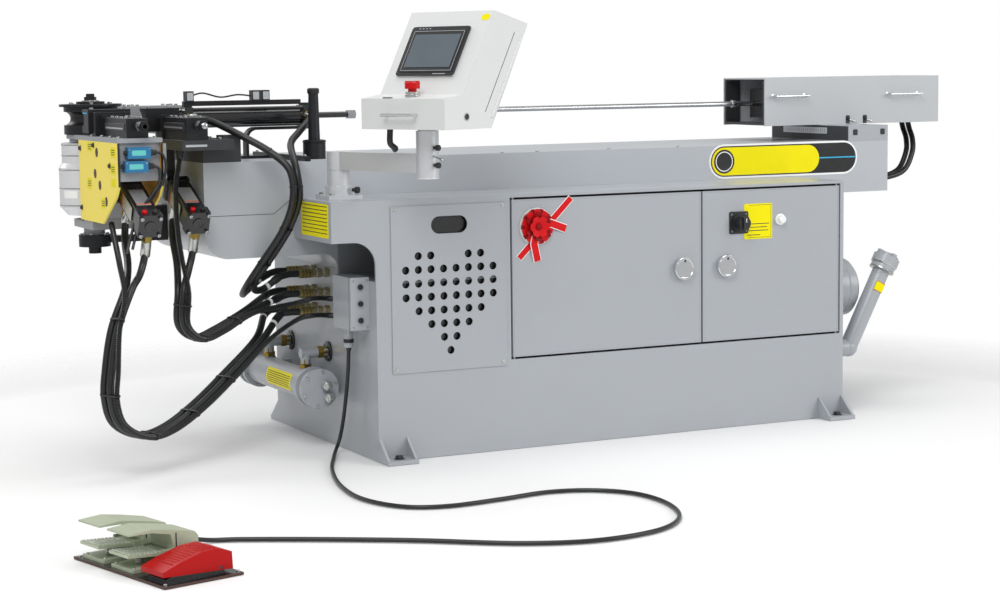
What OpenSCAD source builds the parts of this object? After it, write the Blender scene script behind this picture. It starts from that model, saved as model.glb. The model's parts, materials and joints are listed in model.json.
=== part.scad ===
// Hydraulic mandrel tube bender: cabinet and bed, bend arm with clamp, pressure die, mandrel rod,
// control panel on a swing arm, hoses and a foot pedal unit on its own cord.
// X runs along the bed, the operator's side is -Y and the floor is z = 0.
// The origin is at the middle of the four floor bolts.

/* [Cabinet] */
// Length of the cabinet
cab_l = 1540; // [1400:1:1700]
// Depth of the cabinet
cab_d = 790; // [740:1:860]
// Height of the deck over the floor
deck_z = 720; // [700:1:760]
// Thickness of the cabinet's sheets
sheet_t = 8; // [5:0.5:10]
// Height of the low box under the open corner
box_h = 497; // [460:1:520]
// Reach of the deck wing past the cabinet's left end
wing_l = 128; // [100:1:150]
// Height of the wing's end plate
wing_h = 112; // [90:1:120]
// Radius of the cut below the wing
wing_r = 65; // [40:1:75]

/* [Doors] */
// Left edge of the left door from the cabinet's end
door_x = 415; // [410:1:460]
// Width of the left door
left_door_w = 619; // [560:1:640]
// Right edge of the right door from the cabinet's right end
door_end = 18; // [14:1:40]
// Bottom edge of the doors over the floor
door_sill = 262; // [250:1:320]
// Gap below the deck's top edge
door_top_gap = 14; // [13:1:30]
// Gap round the doors
door_gap = 6; // [5:0.5:8]
// Thickness of a door
door_t = 20; // [12:1:30]
// Radius of a door knob
knob_r = 32; // [20:1:40]

/* [Bed] */
// Front face of the bed from the cabinet's front
bed_setback = 279; // [240:1:300]
// Top of the bed over the floor
bed_top = 824; // [800:1:860]
// Underside of the bed on the left
bed_under = 556; // [540:1:580]
// Reach of the bed past the cabinet's left end
bed_left = 389; // [340:1:400]
// Reach of the bed past the cabinet's right end
bed_right = 369; // [300:1:420]
// Underside of the bed on the right
tail_under = 663; // [640:1:700]
// Radius of the bed's left bottom corner
bed_r = 68; // [40:1:90]
// Height of the raised block that carries the mandrel cylinder
pedestal_h = 50; // [30:1:60]

/* [Tube line and bend] */
// Height of the tube's centre line over the floor
tube_z = 945; // [940:1:950]
// Distance of the tube line from the bed's front face
tube_off = 285; // [270:1:300]
// Radius of the bend
bend_r = 76; // [60:1:76]
// Diameter of the largest tube
tube_d = 38; // [25:1:40]
// Spindle axis left of the cabinet's end
spindle_off = 598; // [590:1:620]

/* [Bend arm] */
// Width of the arm over its side plates
arm_w = 124; // [120:1:130]
// Front face of the arm from the spindle
arm_reach = 470; // [440:1:480]
// Top of the arm over the floor
arm_top = 900; // [895:1:903]
// Thickness of a yellow side plate
side_t = 6; // [4:0.5:8]
// Stroke of the clamp die
clamp_stroke = 45; // [20:1:45]
// Stroke of the pressure die
press_stroke = 45; // [20:1:45]
// Side of the square hydraulic cylinders
cyl_w = 64; // [50:1:68]
// Length of the square hydraulic cylinders
cyl_l = 215; // [180:1:225]
// Slope of the square hydraulic cylinders
cyl_tilt = 25; // [20:1:30]

/* [Mandrel] */
// Diameter of the mandrel rod
rod_d = 16; // [12:1:24]
// Stroke of the mandrel rod
rod_stroke = 80; // [40:1:100]
// Length of the cover over the mandrel cylinder
cover_l = 689; // [600:1:720]
// Depth of that cover
cover_w = 246; // [220:1:260]
// Height of that cover
cover_h = 153; // [150:1:180]
// Thickness of that cover's sheet
cover_t = 4; // [2:0.5:6]

/* [Control panel] */
// Radius of the panel's post
post_r = 32; // [25:1:35]
// Length of the swing arm between its two axes
swing_l = 350; // [300:1:380]
// Width of the control box
panel_w = 290; // [260:1:320]
// Lean of the control box's face
panel_tilt = 31; // [20:1:35]

/* [Feet and pedals] */
// Width of a floor foot
foot_w = 90; // [70:1:100]
// Reach of a floor foot
foot_l = 66; // [60:1:80]
// Height of a floor foot's ribs
foot_h = 65; // [50:1:80]
// Diameter of a floor bolt's hole
bolt_d = 18; // [12:1:22]
// Length of the pedal unit's plate
pedal_l = 384; // [370:1:420]
// Width of the pedal unit's plate
pedal_w = 196; // [190:1:220]

/* [Hoses] */
// Diameter of a hydraulic hose
hose_d = 20; // [16:1:24]
// Diameter of a cable conduit
conduit_d = 16; // [12:1:18]
// Diameter of the pedal cord
cord_d = 11; // [8:1:14]

/* [Hidden] */
$fn = 64;

// Edges of the cabinet
x0 = -cab_l / 2;
x1 = cab_l / 2;
y0 = -cab_d / 2;
y1 = cab_d / 2;
inner_y = y0 + sheet_t;
bed_y = y0 + bed_setback;
wing_z = deck_z - wing_h;
slip = 0.5;

// Door edges
left_x = x0 + door_x;
left_x2 = left_x + left_door_w;
right_x = left_x2 + door_gap;
right_x2 = x1 - door_end;
door_top = deck_z - door_top_gap;
door_h = door_top - door_sill;
knob_z = door_sill + door_h / 2;
hinge_in = 6;
hinge_r = 3;
divider_x = left_x - door_gap - sheet_t;

// Perforated cover
cover_x = x0 + 45;
cover_x2 = x0 + 396;
cover_z = 241;
cover_z2 = 701;
cover_lap = 12;
panel_t = 3;
hole_d = 22;
hole_pitch = 38;
hole_rows = [[-2.5, -1.5, 1.5, 2.5], [-3.5:3.5], [-3.5:3.5], [-3.5:3.5], [-2.5:2.5], [-1.5:1.5],
    [-0.5, 0.5], [0]];

// Bed ends
bed_x = x0 - bed_left;
bed_x2 = x1 + bed_right;
neck_r = 42;
pedestal_x = bed_x2 - 153;
pedestal_d = 437;
pedestal_top = bed_top + pedestal_h;

// Tube line and spindle
tube_y = bed_y + tube_off;
spindle_x = x0 - spindle_off;
spindle_y = tube_y + bend_r;
shaft_r = 30;
fit = 0.1;

// Arm
arm_y = spindle_y - arm_reach;
plate_y2 = spindle_y - 88;
housing_top = 876;
housing_low = 672;
arm_low = 640;
arm_sole = 20;
top_t = 12;
die_low = arm_top + 5;
die_top = 985;
die_h = 65;

// Inclined cylinders: axis at the rear end of each
clamp_cyl_y = -100;
clamp_cyl_z = 761;
press_x = x0 - 433;
press_cyl_y = 0;
press_cyl_z = 756;
press_top = 890;

// Mandrel cover and cylinder
mcover_x = x1 + 6;
mcover_x2 = mcover_x + cover_l;
mcover_y = tube_y - cover_w / 2;
mcyl_x = x1 + 60;
mcyl_x2 = x1 + 670;
rod_x = x0 + 350;
rod_x2 = mcyl_x + 150;

// Panel
post_x = x0 - 50;
post_y = -265;
swing_turn = -70;
panel_turn = -66;
swing_z = 801;
swing_h = 50;
tube_x = post_x + swing_l * cos(swing_turn);
tube_yy = post_y + swing_l * sin(swing_turn);
column_r = 30;
stem_r = 24;
column_z = 786;
box_low = 918;
ledge_h = 80;
ledge_d = 75;
face_h = 252;
stop_at = [4, -60, box_low + ledge_h + 1];

// Cooler
cooler_x = x0 - 72;
cooler_z = 177;
cooler_y = bed_y - 29;
cooler_y2 = 395;

// Hose ports on the end wall, rows from the top down
port_rows = [497, 440, 388];
port_y = [-45, 55];
port_l = 92;

// Pedal unit
pedal_x = -1674;
pedal_y = -1275;
pedal_turn = 14;
pedal_pitch = 125;
pedal_base_t = 6;
pin_r = 4;

// Smooth route through chosen points
function spline(a, b, c, d, t) = 0.5 * (2 * b + (c - a) * t + (2 * a - 5 * b + 4 * c - d) * t * t
    + (3 * b - a - 3 * c + d) * t * t * t);
function at(p, i) = p[max(0, min(len(p) - 1, i))];
function smooth(p, n) = concat([for (i = [0:len(p) - 2]) for (k = [0:n - 1])
    spline(at(p, i - 1), at(p, i), at(p, i + 1), at(p, i + 2), k / n)], [p[len(p) - 1]]);
function unit(v) = v / norm(v);
function heading(p, i) = unit(at(p, i + 1) - at(p, i - 1));
function side_of(h, s) = unit(s - h * (s * h));
// One sideways vector a point, carried along so that the tube does not twist
function sides(p, i, s) = i >= len(p) ? []
    : let (n = side_of(heading(p, i), s)) concat([n], sides(p, i + 1, n));
function first_side(h) = side_of(h, abs(h[2]) < 0.8 ? [0, 0, 1] : [0, 1, 0]);

module tube(route, d, steps = 3, n = 8) {
    p = smooth(route, steps);
    s = sides(p, 0, first_side(heading(p, 0)));
    last = len(p) - 1;
    points = [for (i = [0:last]) let (h = heading(p, i), b = cross(h, s[i])) for (k = [0:n - 1])
        p[i] + d / 2 * (cos(360 * k / n) * s[i] + sin(360 * k / n) * b)];
    walls = [for (i = [0:last - 1]) for (k = [0:n - 1]) let (a = i * n + k, b = i * n + (k + 1) % n)
        each [[a, b, b + n], [a, b + n, a + n]]];
    polyhedron(points, concat([[for (k = [n - 1:-1:0]) k]], walls, [[for (k = [0:n - 1]) last * n + k]]));
}

// A box given by its two corners
module block(a, b) {
    translate(a) cube(b - a);
}

// Extrudes a profile drawn in X and Z along +Y from y by t
module along_y(y, t) {
    translate([0, y + t, 0]) rotate([90, 0, 0]) linear_extrude(t) children();
}

// Extrudes a profile drawn in Y and Z along +X from x by t
module along_x(x, t) {
    translate([x, 0, 0]) rotate([90, 0, 90]) linear_extrude(t) children();
}

// A round bar along X, Y or Z
module bar_x(a, l, r) {
    translate(a) rotate([0, 90, 0]) cylinder(h = l, r = r);
}
module bar_y(a, l, r) {
    translate(a) rotate([-90, 0, 0]) cylinder(h = l, r = r);
}
module bar_z(a, l, r) {
    translate(a) cylinder(h = l, r = r);
}

// Hinge axis of a door, just inside its outer corner
function hinge_at(side) = side < 0 ? [left_x + hinge_in, y0 + hinge_in]
    : [right_x2 - hinge_in, y0 + hinge_in];

module hinge_pins(side, r) {
    for (z = [door_sill - door_gap, door_top - 6])
        translate([hinge_at(side)[0], hinge_at(side)[1], z]) cylinder(h = 12, r = r);
}

module front_plate() {
    color("#a9adb1") for (side = [-1, 1]) hinge_pins(side, hinge_r);
    color("#a9adb1") along_y(y0, sheet_t) difference() {
        union() {
            translate([x0, 0]) square([cab_l, deck_z]);
            translate([x0 - wing_l, wing_z]) square([wing_l + 1, wing_h]);
            difference() {
                translate([x0 - wing_r, wing_z - wing_r]) square([wing_r + 1, wing_r + 1]);
                translate([x0 - wing_r, wing_z - wing_r]) circle(wing_r);
            }
        }
        translate([cover_x + cover_lap, cover_z + cover_lap])
            square([cover_x2 - cover_x - 2 * cover_lap, cover_z2 - cover_z - 2 * cover_lap]);
        translate([left_x - door_gap, door_sill - door_gap])
            square([right_x2 - left_x + 2 * door_gap, door_h + 2 * door_gap]);
    }
}

module deck_plate() {
    color("#a9adb1") union() {
        block([x0 - wing_l, inner_y, deck_z - sheet_t], [x1, bed_y, deck_z]);
        block([x0 - wing_l, inner_y, wing_z], [x0 - wing_l + sheet_t, bed_y, deck_z]);
    }
}

module end_plates() {
    color("#a0a4a8") {
        along_x(x0, sheet_t) union() {
            translate([inner_y, sheet_t]) square([y1 - inner_y, box_h - sheet_t]);
            translate([bed_y, sheet_t]) square([y1 - bed_y, bed_under - sheet_t]);
        }
        along_x(x1 - sheet_t, sheet_t) union() {
            translate([inner_y, sheet_t]) square([bed_y - inner_y, deck_z - 2 * sheet_t]);
            translate([bed_y, sheet_t]) square([y1 - bed_y, tail_under - sheet_t]);
        }
    }
}

module back_plate() {
    color("#a0a4a8") block([x0 + sheet_t, y1 - sheet_t, sheet_t], [x1 - sheet_t, y1, bed_under]);
}

module bottom_plate() {
    color("#8d9195") block([x0, inner_y, 0], [x1, y1, sheet_t]);
}

// Walls inside: behind the doors, beside the pump space and over the low box
module inner_frame() {
    color("#9a9ea2") union() {
        block([x0, bed_y - sheet_t, box_h], [x1 - sheet_t, bed_y, deck_z - sheet_t]);
        block([divider_x, bed_y - sheet_t, sheet_t], [x1 - sheet_t, bed_y, box_h]);
        block([x0 + sheet_t, inner_y, box_h - sheet_t], [divider_x, bed_y, box_h]);
        block([divider_x, inner_y, sheet_t], [divider_x + sheet_t, bed_y, deck_z - sheet_t]);
        block([divider_x, inner_y, door_sill - door_gap - 2 * sheet_t],
            [x1 - sheet_t, bed_y, door_sill - door_gap - sheet_t]);
    }
}

module foot(side, front) {
    edge = front > 0 ? y1 : y0;
    translate([side * (x1 - foot_w / 2), edge, 0]) rotate([0, 0, front > 0 ? 0 : 180])
        difference() {
            union() {
                translate([-foot_w / 2, 0, 0]) cube([foot_w, foot_l, 12]);
                for (x = [-foot_w / 2, foot_w / 2 - 8])
                    along_x(x, 8) polygon([[0, 0], [foot_l - 6, 0], [foot_l - 6, 12], [0, foot_h]]);
            }
            translate([0, foot_l / 2 + 2, -1]) cylinder(h = 20, d = bolt_d);
        }
}

module feet() {
    color("#a0a4a8") for (side = [-1, 1]) for (front = [-1, 1]) foot(side, front);
}

module perforated_cover() {
    mid = (cover_x + cover_x2) / 2;
    color("#a4a8ac") along_y(y0 - panel_t, panel_t) difference() {
        translate([cover_x, cover_z]) square([cover_x2 - cover_x, cover_z2 - cover_z]);
        for (row = [0:len(hole_rows) - 1]) for (i = hole_rows[row])
            translate([mid + i * hole_pitch, 563 - row * hole_pitch]) circle(d = hole_d, $fn = 24);
        for (i = [-1, 1]) translate([mid + i * 31, 646]) circle(r = 24);
        translate([mid - 31, 646 - 24]) square([62, 48]);
    }
}

module bed() {
    color("#a6aaae") along_y(bed_y, y1 - bed_y) difference() {
        union() {
            translate([bed_x, bed_under]) square([x1 - sheet_t - bed_x, bed_top - bed_under]);
            translate([x0, tail_under]) square([bed_x2 - x0, bed_top - tail_under]);
            difference() {
                translate([x0 - neck_r, bed_under - neck_r]) square([neck_r, neck_r + 1]);
                translate([x0 - neck_r, bed_under - neck_r]) circle(neck_r);
            }
        }
        difference() {
            translate([bed_x - 1, bed_under - 1]) square([bed_r + 1, bed_r + 1]);
            translate([bed_x + bed_r, bed_under + bed_r]) circle(bed_r);
        }
        translate([bed_x2 - 14, tail_under]) rotate(-45) translate([0, -20]) square([40, 20]);
    }
}

module pedestal() {
    color("#a9adb1") block([pedestal_x, bed_y, bed_top], [bed_x2, bed_y + pedestal_d, pedestal_top]);
}

// Cover with one open end, on the pedestal
module mandrel_cover() {
    y = mcover_y;
    y2 = mcover_y + cover_w;
    z2 = pedestal_top + cover_h;
    color("#b0b3b6") union() {
        block([mcover_x, y, pedestal_top], [mcover_x2, y + cover_t, z2]);
        block([mcover_x, y2 - cover_t, pedestal_top], [mcover_x2, y2, z2]);
        block([mcover_x, y, z2 - cover_t], [mcover_x2, y2, z2]);
        block([mcover_x2 - cover_t, y, pedestal_top], [mcover_x2, y2, z2]);
    }
}

module cover_handles() {
    color("#c8cacc") for (x = [mcover_x + 90, mcover_x + 540]) for (side = [-1, 1]) {
        y = side < 0 ? mcover_y : mcover_y + cover_w;
        translate([x, y, pedestal_top + 95]) rotate([0, 0, side < 0 ? 180 : 0]) union() {
            for (i = [-60, 60]) bar_y([i, 0, 0], 26, 4);
            bar_x([-64, 26, 0], 128, 4);
        }
    }
}

module mandrel_cylinder() {
    color("#26282a") difference() {
        union() {
            bar_x([mcyl_x, tube_y, tube_z], mcyl_x2 - mcyl_x, 40);
            for (x = [mcyl_x, mcyl_x2 - 40])
                block([x, tube_y - 46, tube_z - 46], [x + 40, tube_y + 46, tube_z + 46]);
            for (x = [pedestal_x + 10, bed_x2 - 50])
                block([x, tube_y - 40, pedestal_top], [x + 40, tube_y + 40, tube_z - 20]);
        }
        bar_x([mcyl_x - 1, tube_y, tube_z], 151 + rod_stroke + 20, rod_d / 2 + slip);
    }
}

module mandrel_rod() {
    color("#8b8d8f") union() {
        bar_x([rod_x, tube_y, tube_z], rod_x2 - rod_x, rod_d / 2);
        bar_x([rod_x, tube_y, tube_z], 60, rod_d / 2 + 3);
    }
}

module junction_box() {
    color("#b9bcbf") union() {
        block([x0 - 55, -345, 362], [x0, -215, 508]);
        for (z = [390, 436, 482]) bar_y([x0 - 28, -349, z], 4, 10);
    }
    color("#2a2c2e") bar_z([x0 - 28, -258, 306], 56, 13);
}

// Three rows of two hose fittings that stand out of the end wall
module manifold() {
    color("#8f8a6a") for (z = port_rows) for (y = port_y)
        translate([x0, y, z]) rotate([0, -90, 0]) union() {
            cylinder(h = port_l, d = hose_d * 0.8);
            cylinder(h = 14, r = 14, $fn = 6);
            translate([0, 0, 22]) cylinder(h = 14, r = 14, $fn = 6);
            translate([0, 0, 40]) cylinder(h = 12, r = 13, $fn = 6);
            translate([0, 0, 54]) cylinder(h = port_l - 54, d = hose_d + 6);
        }
}

module water_cooler() {
    r = 44;
    color("#a9adb1") union() {
        bar_y([cooler_x, cooler_y, cooler_z], cooler_y2 - cooler_y, r);
        for (y = [cooler_y, cooler_y + 44, cooler_y2 - 60, cooler_y2 - 16])
            bar_y([cooler_x, y, cooler_z], 16, 57);
        for (i = [[14, 12], [20, -24]]) bar_y([cooler_x + i[0], cooler_y - 26, cooler_z + i[1]], 27, 13);
        for (y = [cooler_y + 110, cooler_y2 - 130]) {
            bar_z([cooler_x, y, cooler_z + 20], 70, 15);
            bar_x([cooler_x - 15, y, cooler_z + 90], x0 - cooler_x + 15, 15);
            translate([cooler_x, y, cooler_z + 90]) sphere(15);
        }
        for (y = [cooler_y + 90, cooler_y2 - 110]) block([cooler_x, y - 12, cooler_z - 30],
            [x0, y + 12, cooler_z + 30]);
    }
}

module filler_pipe() {
    color("#a4a8ac") union() {
        bar_x([x1, -275, 190], 105, 27);
        translate([x1 + 105, -275, 190]) sphere(29);
        translate([x1 + 105, -275, 190]) rotate([0, 28, 0]) union() {
            cylinder(h = 285, r = 27);
            translate([0, 0, 270]) cylinder(h = 16, r = 38);
            translate([0, 0, 286]) cylinder(h = 26, r = 42, $fn = 48);
            translate([0, 0, 312]) cylinder(h = 10, r = 30);
            for (a = [0, 90]) rotate([0, 0, a]) translate([-38, -7, 290]) cube([76, 14, 34]);
        }
    }
}

module motor_cowl() {
    color("#9a9ea2") union() {
        bar_x([x1, -175, 370], 150, 90);
        bar_x([x1 + 150, -175, 370], 12, 78);
    }
}

// Turned housing of the bend spindle on its bracket from the bed
module spindle_housing() {
    color("#d4d6d8") difference() {
        union() {
            translate([spindle_x, spindle_y, 0]) rotate_extrude() polygon([[0, housing_low],
                [72, housing_low], [94, 696], [94, 806], [85, 820], [85, housing_top], [0, housing_top]]);
            block([spindle_x + 40, spindle_y - 60, 700], [bed_x, spindle_y + 55, 800]);
        }
        bar_z([spindle_x, spindle_y, housing_low - 1], 300, shaft_r + fit);
    }
}

// Outer bearing of the spindle, held by the bed's end
module lower_bearing() {
    color("#2b2d2f") difference() {
        union() {
            bar_z([spindle_x, spindle_y, 580], 34, 45);
            bar_z([spindle_x, spindle_y, 560], 20, 18);
            block([spindle_x, spindle_y - 22, 590], [bed_x, spindle_y + 22, 608]);
            block([bed_x - 34, spindle_y - 26, 590], [bed_x, spindle_y + 26, 690]);
        }
        bar_z([spindle_x, spindle_y, 590], 40, shaft_r + fit);
    }
}

// Middle of the arm, seen from the side
module arm_web() {
    polygon([[arm_y + 10, arm_top - top_t], [arm_y + 10, 786], [arm_y + 105, 826], [arm_y + 205, 826],
        [60, 672], [plate_y2 - 12, 672], [plate_y2 - 12, arm_top - top_t]]);
}

module arm_frame() {
    inner = arm_w - 2 * side_t;
    x = spindle_x - inner / 2;
    color("#77797b") union() {
        translate([0, 0, arm_top - top_t]) linear_extrude(top_t) union() {
            translate([spindle_x - arm_w / 2, arm_y]) square([arm_w, arm_reach]);
            translate([spindle_x, spindle_y]) circle(70);
        }
        along_x(x, inner) arm_web();
        translate([0, 0, arm_low]) linear_extrude(arm_sole) union() {
            translate([x, 60]) square([inner, spindle_y - 60]);
            translate([spindle_x, spindle_y]) circle(inner / 2);
        }
        block([x, 60, arm_low], [x + inner, plate_y2 - 12, 680]);
        bar_z([spindle_x, spindle_y, 592], arm_top - 592, shaft_r);
        bar_z([spindle_x, spindle_y, housing_top + 2], 12, 62);
        clamp_lug();
    }
}

// The lug that holds the clamp cylinder's rear end
module clamp_lug() {
    translate([spindle_x, clamp_cyl_y, clamp_cyl_z]) rotate([cyl_tilt, 0, 0])
        block([-16, 0, -16], [16, 110, 16]);
}

module side_plate_shape() {
    difference() {
        polygon([[arm_y, arm_top - top_t], [arm_y, 772], [arm_y + 28, 742], [60 - 125, 666],
            [plate_y2, 666], [plate_y2, arm_top - top_t]]);
        for (p = [[-25, 858], [-4, 800], [-48, 770], [-105, 728]])
            translate([p[0], p[1]]) circle(r = 13);
    }
}

module arm_plates() {
    color("#f0d868") for (x = [spindle_x - arm_w / 2, spindle_x + arm_w / 2 - side_t])
        along_x(x, side_t) side_plate_shape();
}

// Grooved bend die with its top disc and nut
module bend_die() {
    color("#2f3133") union() {
        translate([spindle_x, spindle_y, 0]) rotate_extrude() difference() {
            translate([0, arm_top]) square([bend_r - 0.5, die_top - arm_top]);
            translate([bend_r, tube_z]) circle(d = tube_d);
        }
        bar_z([spindle_x, spindle_y, die_top - 7], 7, bend_r + 12);
        bar_z([spindle_x, spindle_y, die_top], 7, 40);
        translate([spindle_x, spindle_y, die_top]) cylinder(h = 20, r = 18, $fn = 6);
    }
}

// Square cylinder with end caps, drawn forward from its rear end
module square_cylinder() {
    w = cyl_w;
    union() {
        translate([-w / 2 + 3, -cyl_l, -w / 2 + 3]) cube([w - 6, cyl_l, w - 6]);
        translate([-w / 2, -cyl_l, -w / 2]) cube([w, 34, w]);
        translate([-w / 2, -22, -w / 2]) cube([w, 22, w]);
        for (x = [-1, 1]) for (z = [-1, 1]) translate([x * (w / 2 - 7), -cyl_l - 4, z * (w / 2 - 7)])
            rotate([-90, 0, 0]) cylinder(h = cyl_l, r = 5);
        for (y = [-cyl_l + 17, -11]) translate([0, y, -w / 2 - 12]) cylinder(h = 12.5, r = 11);
    }
}

module clamp_cylinder() {
    color("#1f2123") translate([spindle_x, clamp_cyl_y, clamp_cyl_z]) rotate([cyl_tilt, 0, 0])
        square_cylinder();
}

module pressure_cylinder() {
    color("#1f2123") translate([press_x, press_cyl_y, press_cyl_z]) rotate([cyl_tilt, 0, 0])
        square_cylinder();
}

module arm_switches() {
    color("#2c7fb0") for (p = [[-8, 862], [-16, 826]])
        block([spindle_x + p[0] - 30, arm_y - 18, p[1] - 15], [spindle_x + p[0] + 32, arm_y + 10, p[1] + 15]);
}

// A die block with its half round groove facing +Y at y
module grooved_die(x, x2, y, depth) {
    difference() {
        block([x, y - depth, tube_z - die_h / 2 - 5], [x2, y, tube_z + die_h / 2 - 5]);
        bar_x([x - 1, y, tube_z], x2 - x + 2, tube_d / 2);
    }
}

module clamp_slide() {
    face = tube_y - 6 - clamp_stroke;
    x = spindle_x;
    color("#3a3c3e") union() {
        block([x - 30, arm_y + 20, arm_top + slip], [x + 30, face - 60, arm_top + 12]);
        block([x - 30, arm_y + 20, arm_top + 10], [x + 30, arm_y + 235, 952]);
        block([x - 36, arm_y + 235, arm_top + slip], [x + 36, arm_y + 248, 958]);
        block([x - 26, arm_y + 240, arm_top + 4], [x + 26, face - 80, 940]);
        block([x - 50, face - 95, arm_top + slip], [x + 50, face - 60, 965]);
        grooved_die(x - 60, x + 60, face, 62);
        bar_y([x, arm_y - 50, 932], 80, 9);
        translate([x, arm_y - 40, 932]) rotate([-90, 0, 0]) cylinder(h = 14, r = 15, $fn = 6);
    }
}

module pressure_base() {
    color("#4a4c4e") union() {
        block([press_x - 42, bed_y - 90, press_top - 28], [bed_x + 60, tube_y - 8, press_top]);
        block([bed_x, bed_y, bed_top], [bed_x + 60, tube_y - 8, press_top - 20]);
        block([bed_x + 60, bed_y, bed_top], [bed_x + 110, bed_y + 60, press_top + 8]);
        translate([press_x, press_cyl_y, press_cyl_z]) rotate([cyl_tilt, 0, 0])
            block([-14, 0, -14], [14, 100, 14]);
        block([press_x - 20, 60, 780], [press_x + 20, 110, press_top - 20]);
    }
}

module pressure_slide() {
    face = tube_y - 6 - press_stroke;
    x = press_x;
    color("#2b2d2f") union() {
        block([x - 30, bed_y - 90, press_top + slip], [x + 30, face - 50, press_top + 18]);
        block([x - 30, bed_y - 90, press_top + 10], [x + 30, bed_y + 110, 950]);
        block([x - 36, bed_y + 110, press_top + slip], [x + 36, bed_y + 122, 956]);
        block([x - 24, bed_y + 115, press_top + 4], [x + 24, face - 55, 946]);
        grooved_die(x - 60, x + 38, face, 56);
        bar_y([x, bed_y - 150, 930], 90, 9);
        translate([x, bed_y - 140, 930]) rotate([-90, 0, 0]) cylinder(h = 14, r = 15, $fn = 6);
    }
}

// Bracket behind the tube line with a notch below its arm
module wiper_bracket() {
    color("#9fa3a7") along_y(tube_y + 62, 84) difference() {
        union() {
            translate([bed_x, bed_top]) square([62, 152]);
            translate([bed_x - 111, 896]) square([112, 80]);
        }
        translate([bed_x - 63, 895]) square([42, 54]);
    }
}

module assist_cylinder() {
    y = 75;
    z = 943;
    color("#1d1f21") union() {
        bar_x([x0 - 380, y, z], 374, 22);
        for (x = [x0 - 384, x0 - 30]) block([x, y - 30, z - 30], [x + 24, y + 30, z + 30]);
        for (i = [-1, 1]) for (k = [-1, 1]) bar_x([x0 - 380, y + i * 24, z + k * 24], 374, 4);
        bar_x([x0 - 6, y, z], 146, 8.5);
    }
}

module assist_rail() {
    y = 75;
    color("#232527") union() {
        block([x0 - 380, y - 9, 976], [x0 - 30, y + 9, 990]);
        for (x = [x0 - 380, x0 - 30]) block([x, y - 9, 973], [x + 24, y + 9, 980]);
        for (x = [x0 - 374, x0 - 178, x0 - 148]) block([x, y - 14, 986], [x + 22, y + 14, 1018]);
    }
}

module support_post() {
    color("#1f2123") union() {
        bar_z([x0 - 48, -80, bed_top], 44, 32);
        translate([x0 - 48, -80, bed_top]) cylinder(h = 182, r1 = 18, r2 = 14);
    }
}

// Bar across the bed and the bent strap that carries the assist cylinder
module cross_bar() {
    y = 75;
    color("#242628") union() {
        block([x0 - 130, -225, bed_top], [x0 - 116, 205, bed_top + 14]);
        block([x0 - 215, y - 15, bed_top], [x0 - 116, y + 15, bed_top + 8]);
        along_y(y - 15, 30) union() {
            translate([x0 - 200, bed_top]) square([8, 57]);
            translate([x0 - 160, 905]) square([154, 8]);
            intersection() {
                difference() {
                    translate([x0 - 168, 881]) circle(32);
                    translate([x0 - 168, 881]) circle(24);
                }
                translate([x0 - 200, 881]) square([33, 33]);
            }
            translate([x0 - 168, 905]) square([10, 8]);
        }
    }
}

module panel_post() {
    color("#b4b7ba") union() {
        block([post_x - 50, post_y - 50, deck_z], [post_x + 50, post_y + 50, deck_z + 12]);
        bar_z([post_x, post_y, deck_z + 12], 24, post_r + 6);
        bar_z([post_x, post_y, deck_z + 30], swing_z - slip - deck_z - 30, post_r);
        bar_z([post_x, post_y, deck_z + 30], swing_z - deck_z - 30 + swing_h - 8, 12);
    }
}

module panel_arm() {
    color("#b4b7ba") difference() {
        union() {
            bar_z([post_x, post_y, swing_z], swing_h, post_r);
            translate([post_x, post_y, swing_z]) rotate([0, 0, swing_turn]) union() {
                translate([0, -20, 0]) cube([swing_l - 10, 40, swing_h]);
                translate([swing_l, 0, column_z - swing_z])
                    cylinder(h = box_low - 6 - column_z, r = column_r);
            }
        }
        bar_z([post_x, post_y, swing_z - 1], swing_h - 4, 12 + fit);
        bar_z([tube_x, tube_yy, column_z - 1], box_low - column_z, stem_r + fit);
    }
}

module panel_column() {
    color("#b9bcbf") bar_z([tube_x, tube_yy, column_z], box_low - column_z, stem_r);
}

// Control box: leaning upper case on a low ledge, closed all round
module box_profile() {
    foot_y = -21;
    foot_z = box_low + ledge_h + 10;
    top_y = foot_y + face_h * sin(panel_tilt);
    top_z = foot_z + face_h * cos(panel_tilt);
    polygon([[foot_y - ledge_d, box_low], [foot_y - ledge_d, box_low + ledge_h], [foot_y, foot_z],
        [top_y, top_z], [top_y + 137, top_z - 34], [foot_y + 111, box_low]]);
}

module control_box() {
    foot_z = box_low + ledge_h + 10;
    translate([tube_x, tube_yy, 0]) rotate([0, 0, panel_turn]) {
        color("#f2f2f0") along_x(-panel_w / 2, panel_w) box_profile();
        color("#2a2c2e") translate([-9, -21, foot_z]) rotate([-panel_tilt, 0, 0])
            translate([-100, -6, 54]) cube([200, 6, 147]);
        color("#2a2c2e") translate(stop_at) difference() {
            translate([0, 0, -3]) cylinder(h = 19, r = 18);
            translate([0, 0, 7]) cylinder(h = 12, r = 12);
        }
    }
}

module stop_button() {
    color("#c81e1e") translate([tube_x, tube_yy, 0]) rotate([0, 0, panel_turn])
        translate(stop_at) union() {
            translate([0, 0, 13.5]) cylinder(h = 14, r = 11.5);
            translate([0, 0, 24]) cylinder(h = 12, r = 20);
        }
}

module door(x, x2, side) {
    difference() {
        block([x, y0, door_sill], [x2, y0 + door_t, door_top]);
        hinge_pins(side, hinge_r + fit);
    }
}

module left_door() {
    color("#a9adb1") door(left_x, left_x2, -1);
}

module right_door() {
    color("#a9adb1") door(right_x, right_x2, 1);
}

module knob(x) {
    color("#d8dadc") bar_y([x, y0 - 16, knob_z], 15.5, knob_r);
}

module left_knob() {
    knob(left_x2 - 64);
}

module right_knob() {
    knob(right_x + 77);
}

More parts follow.
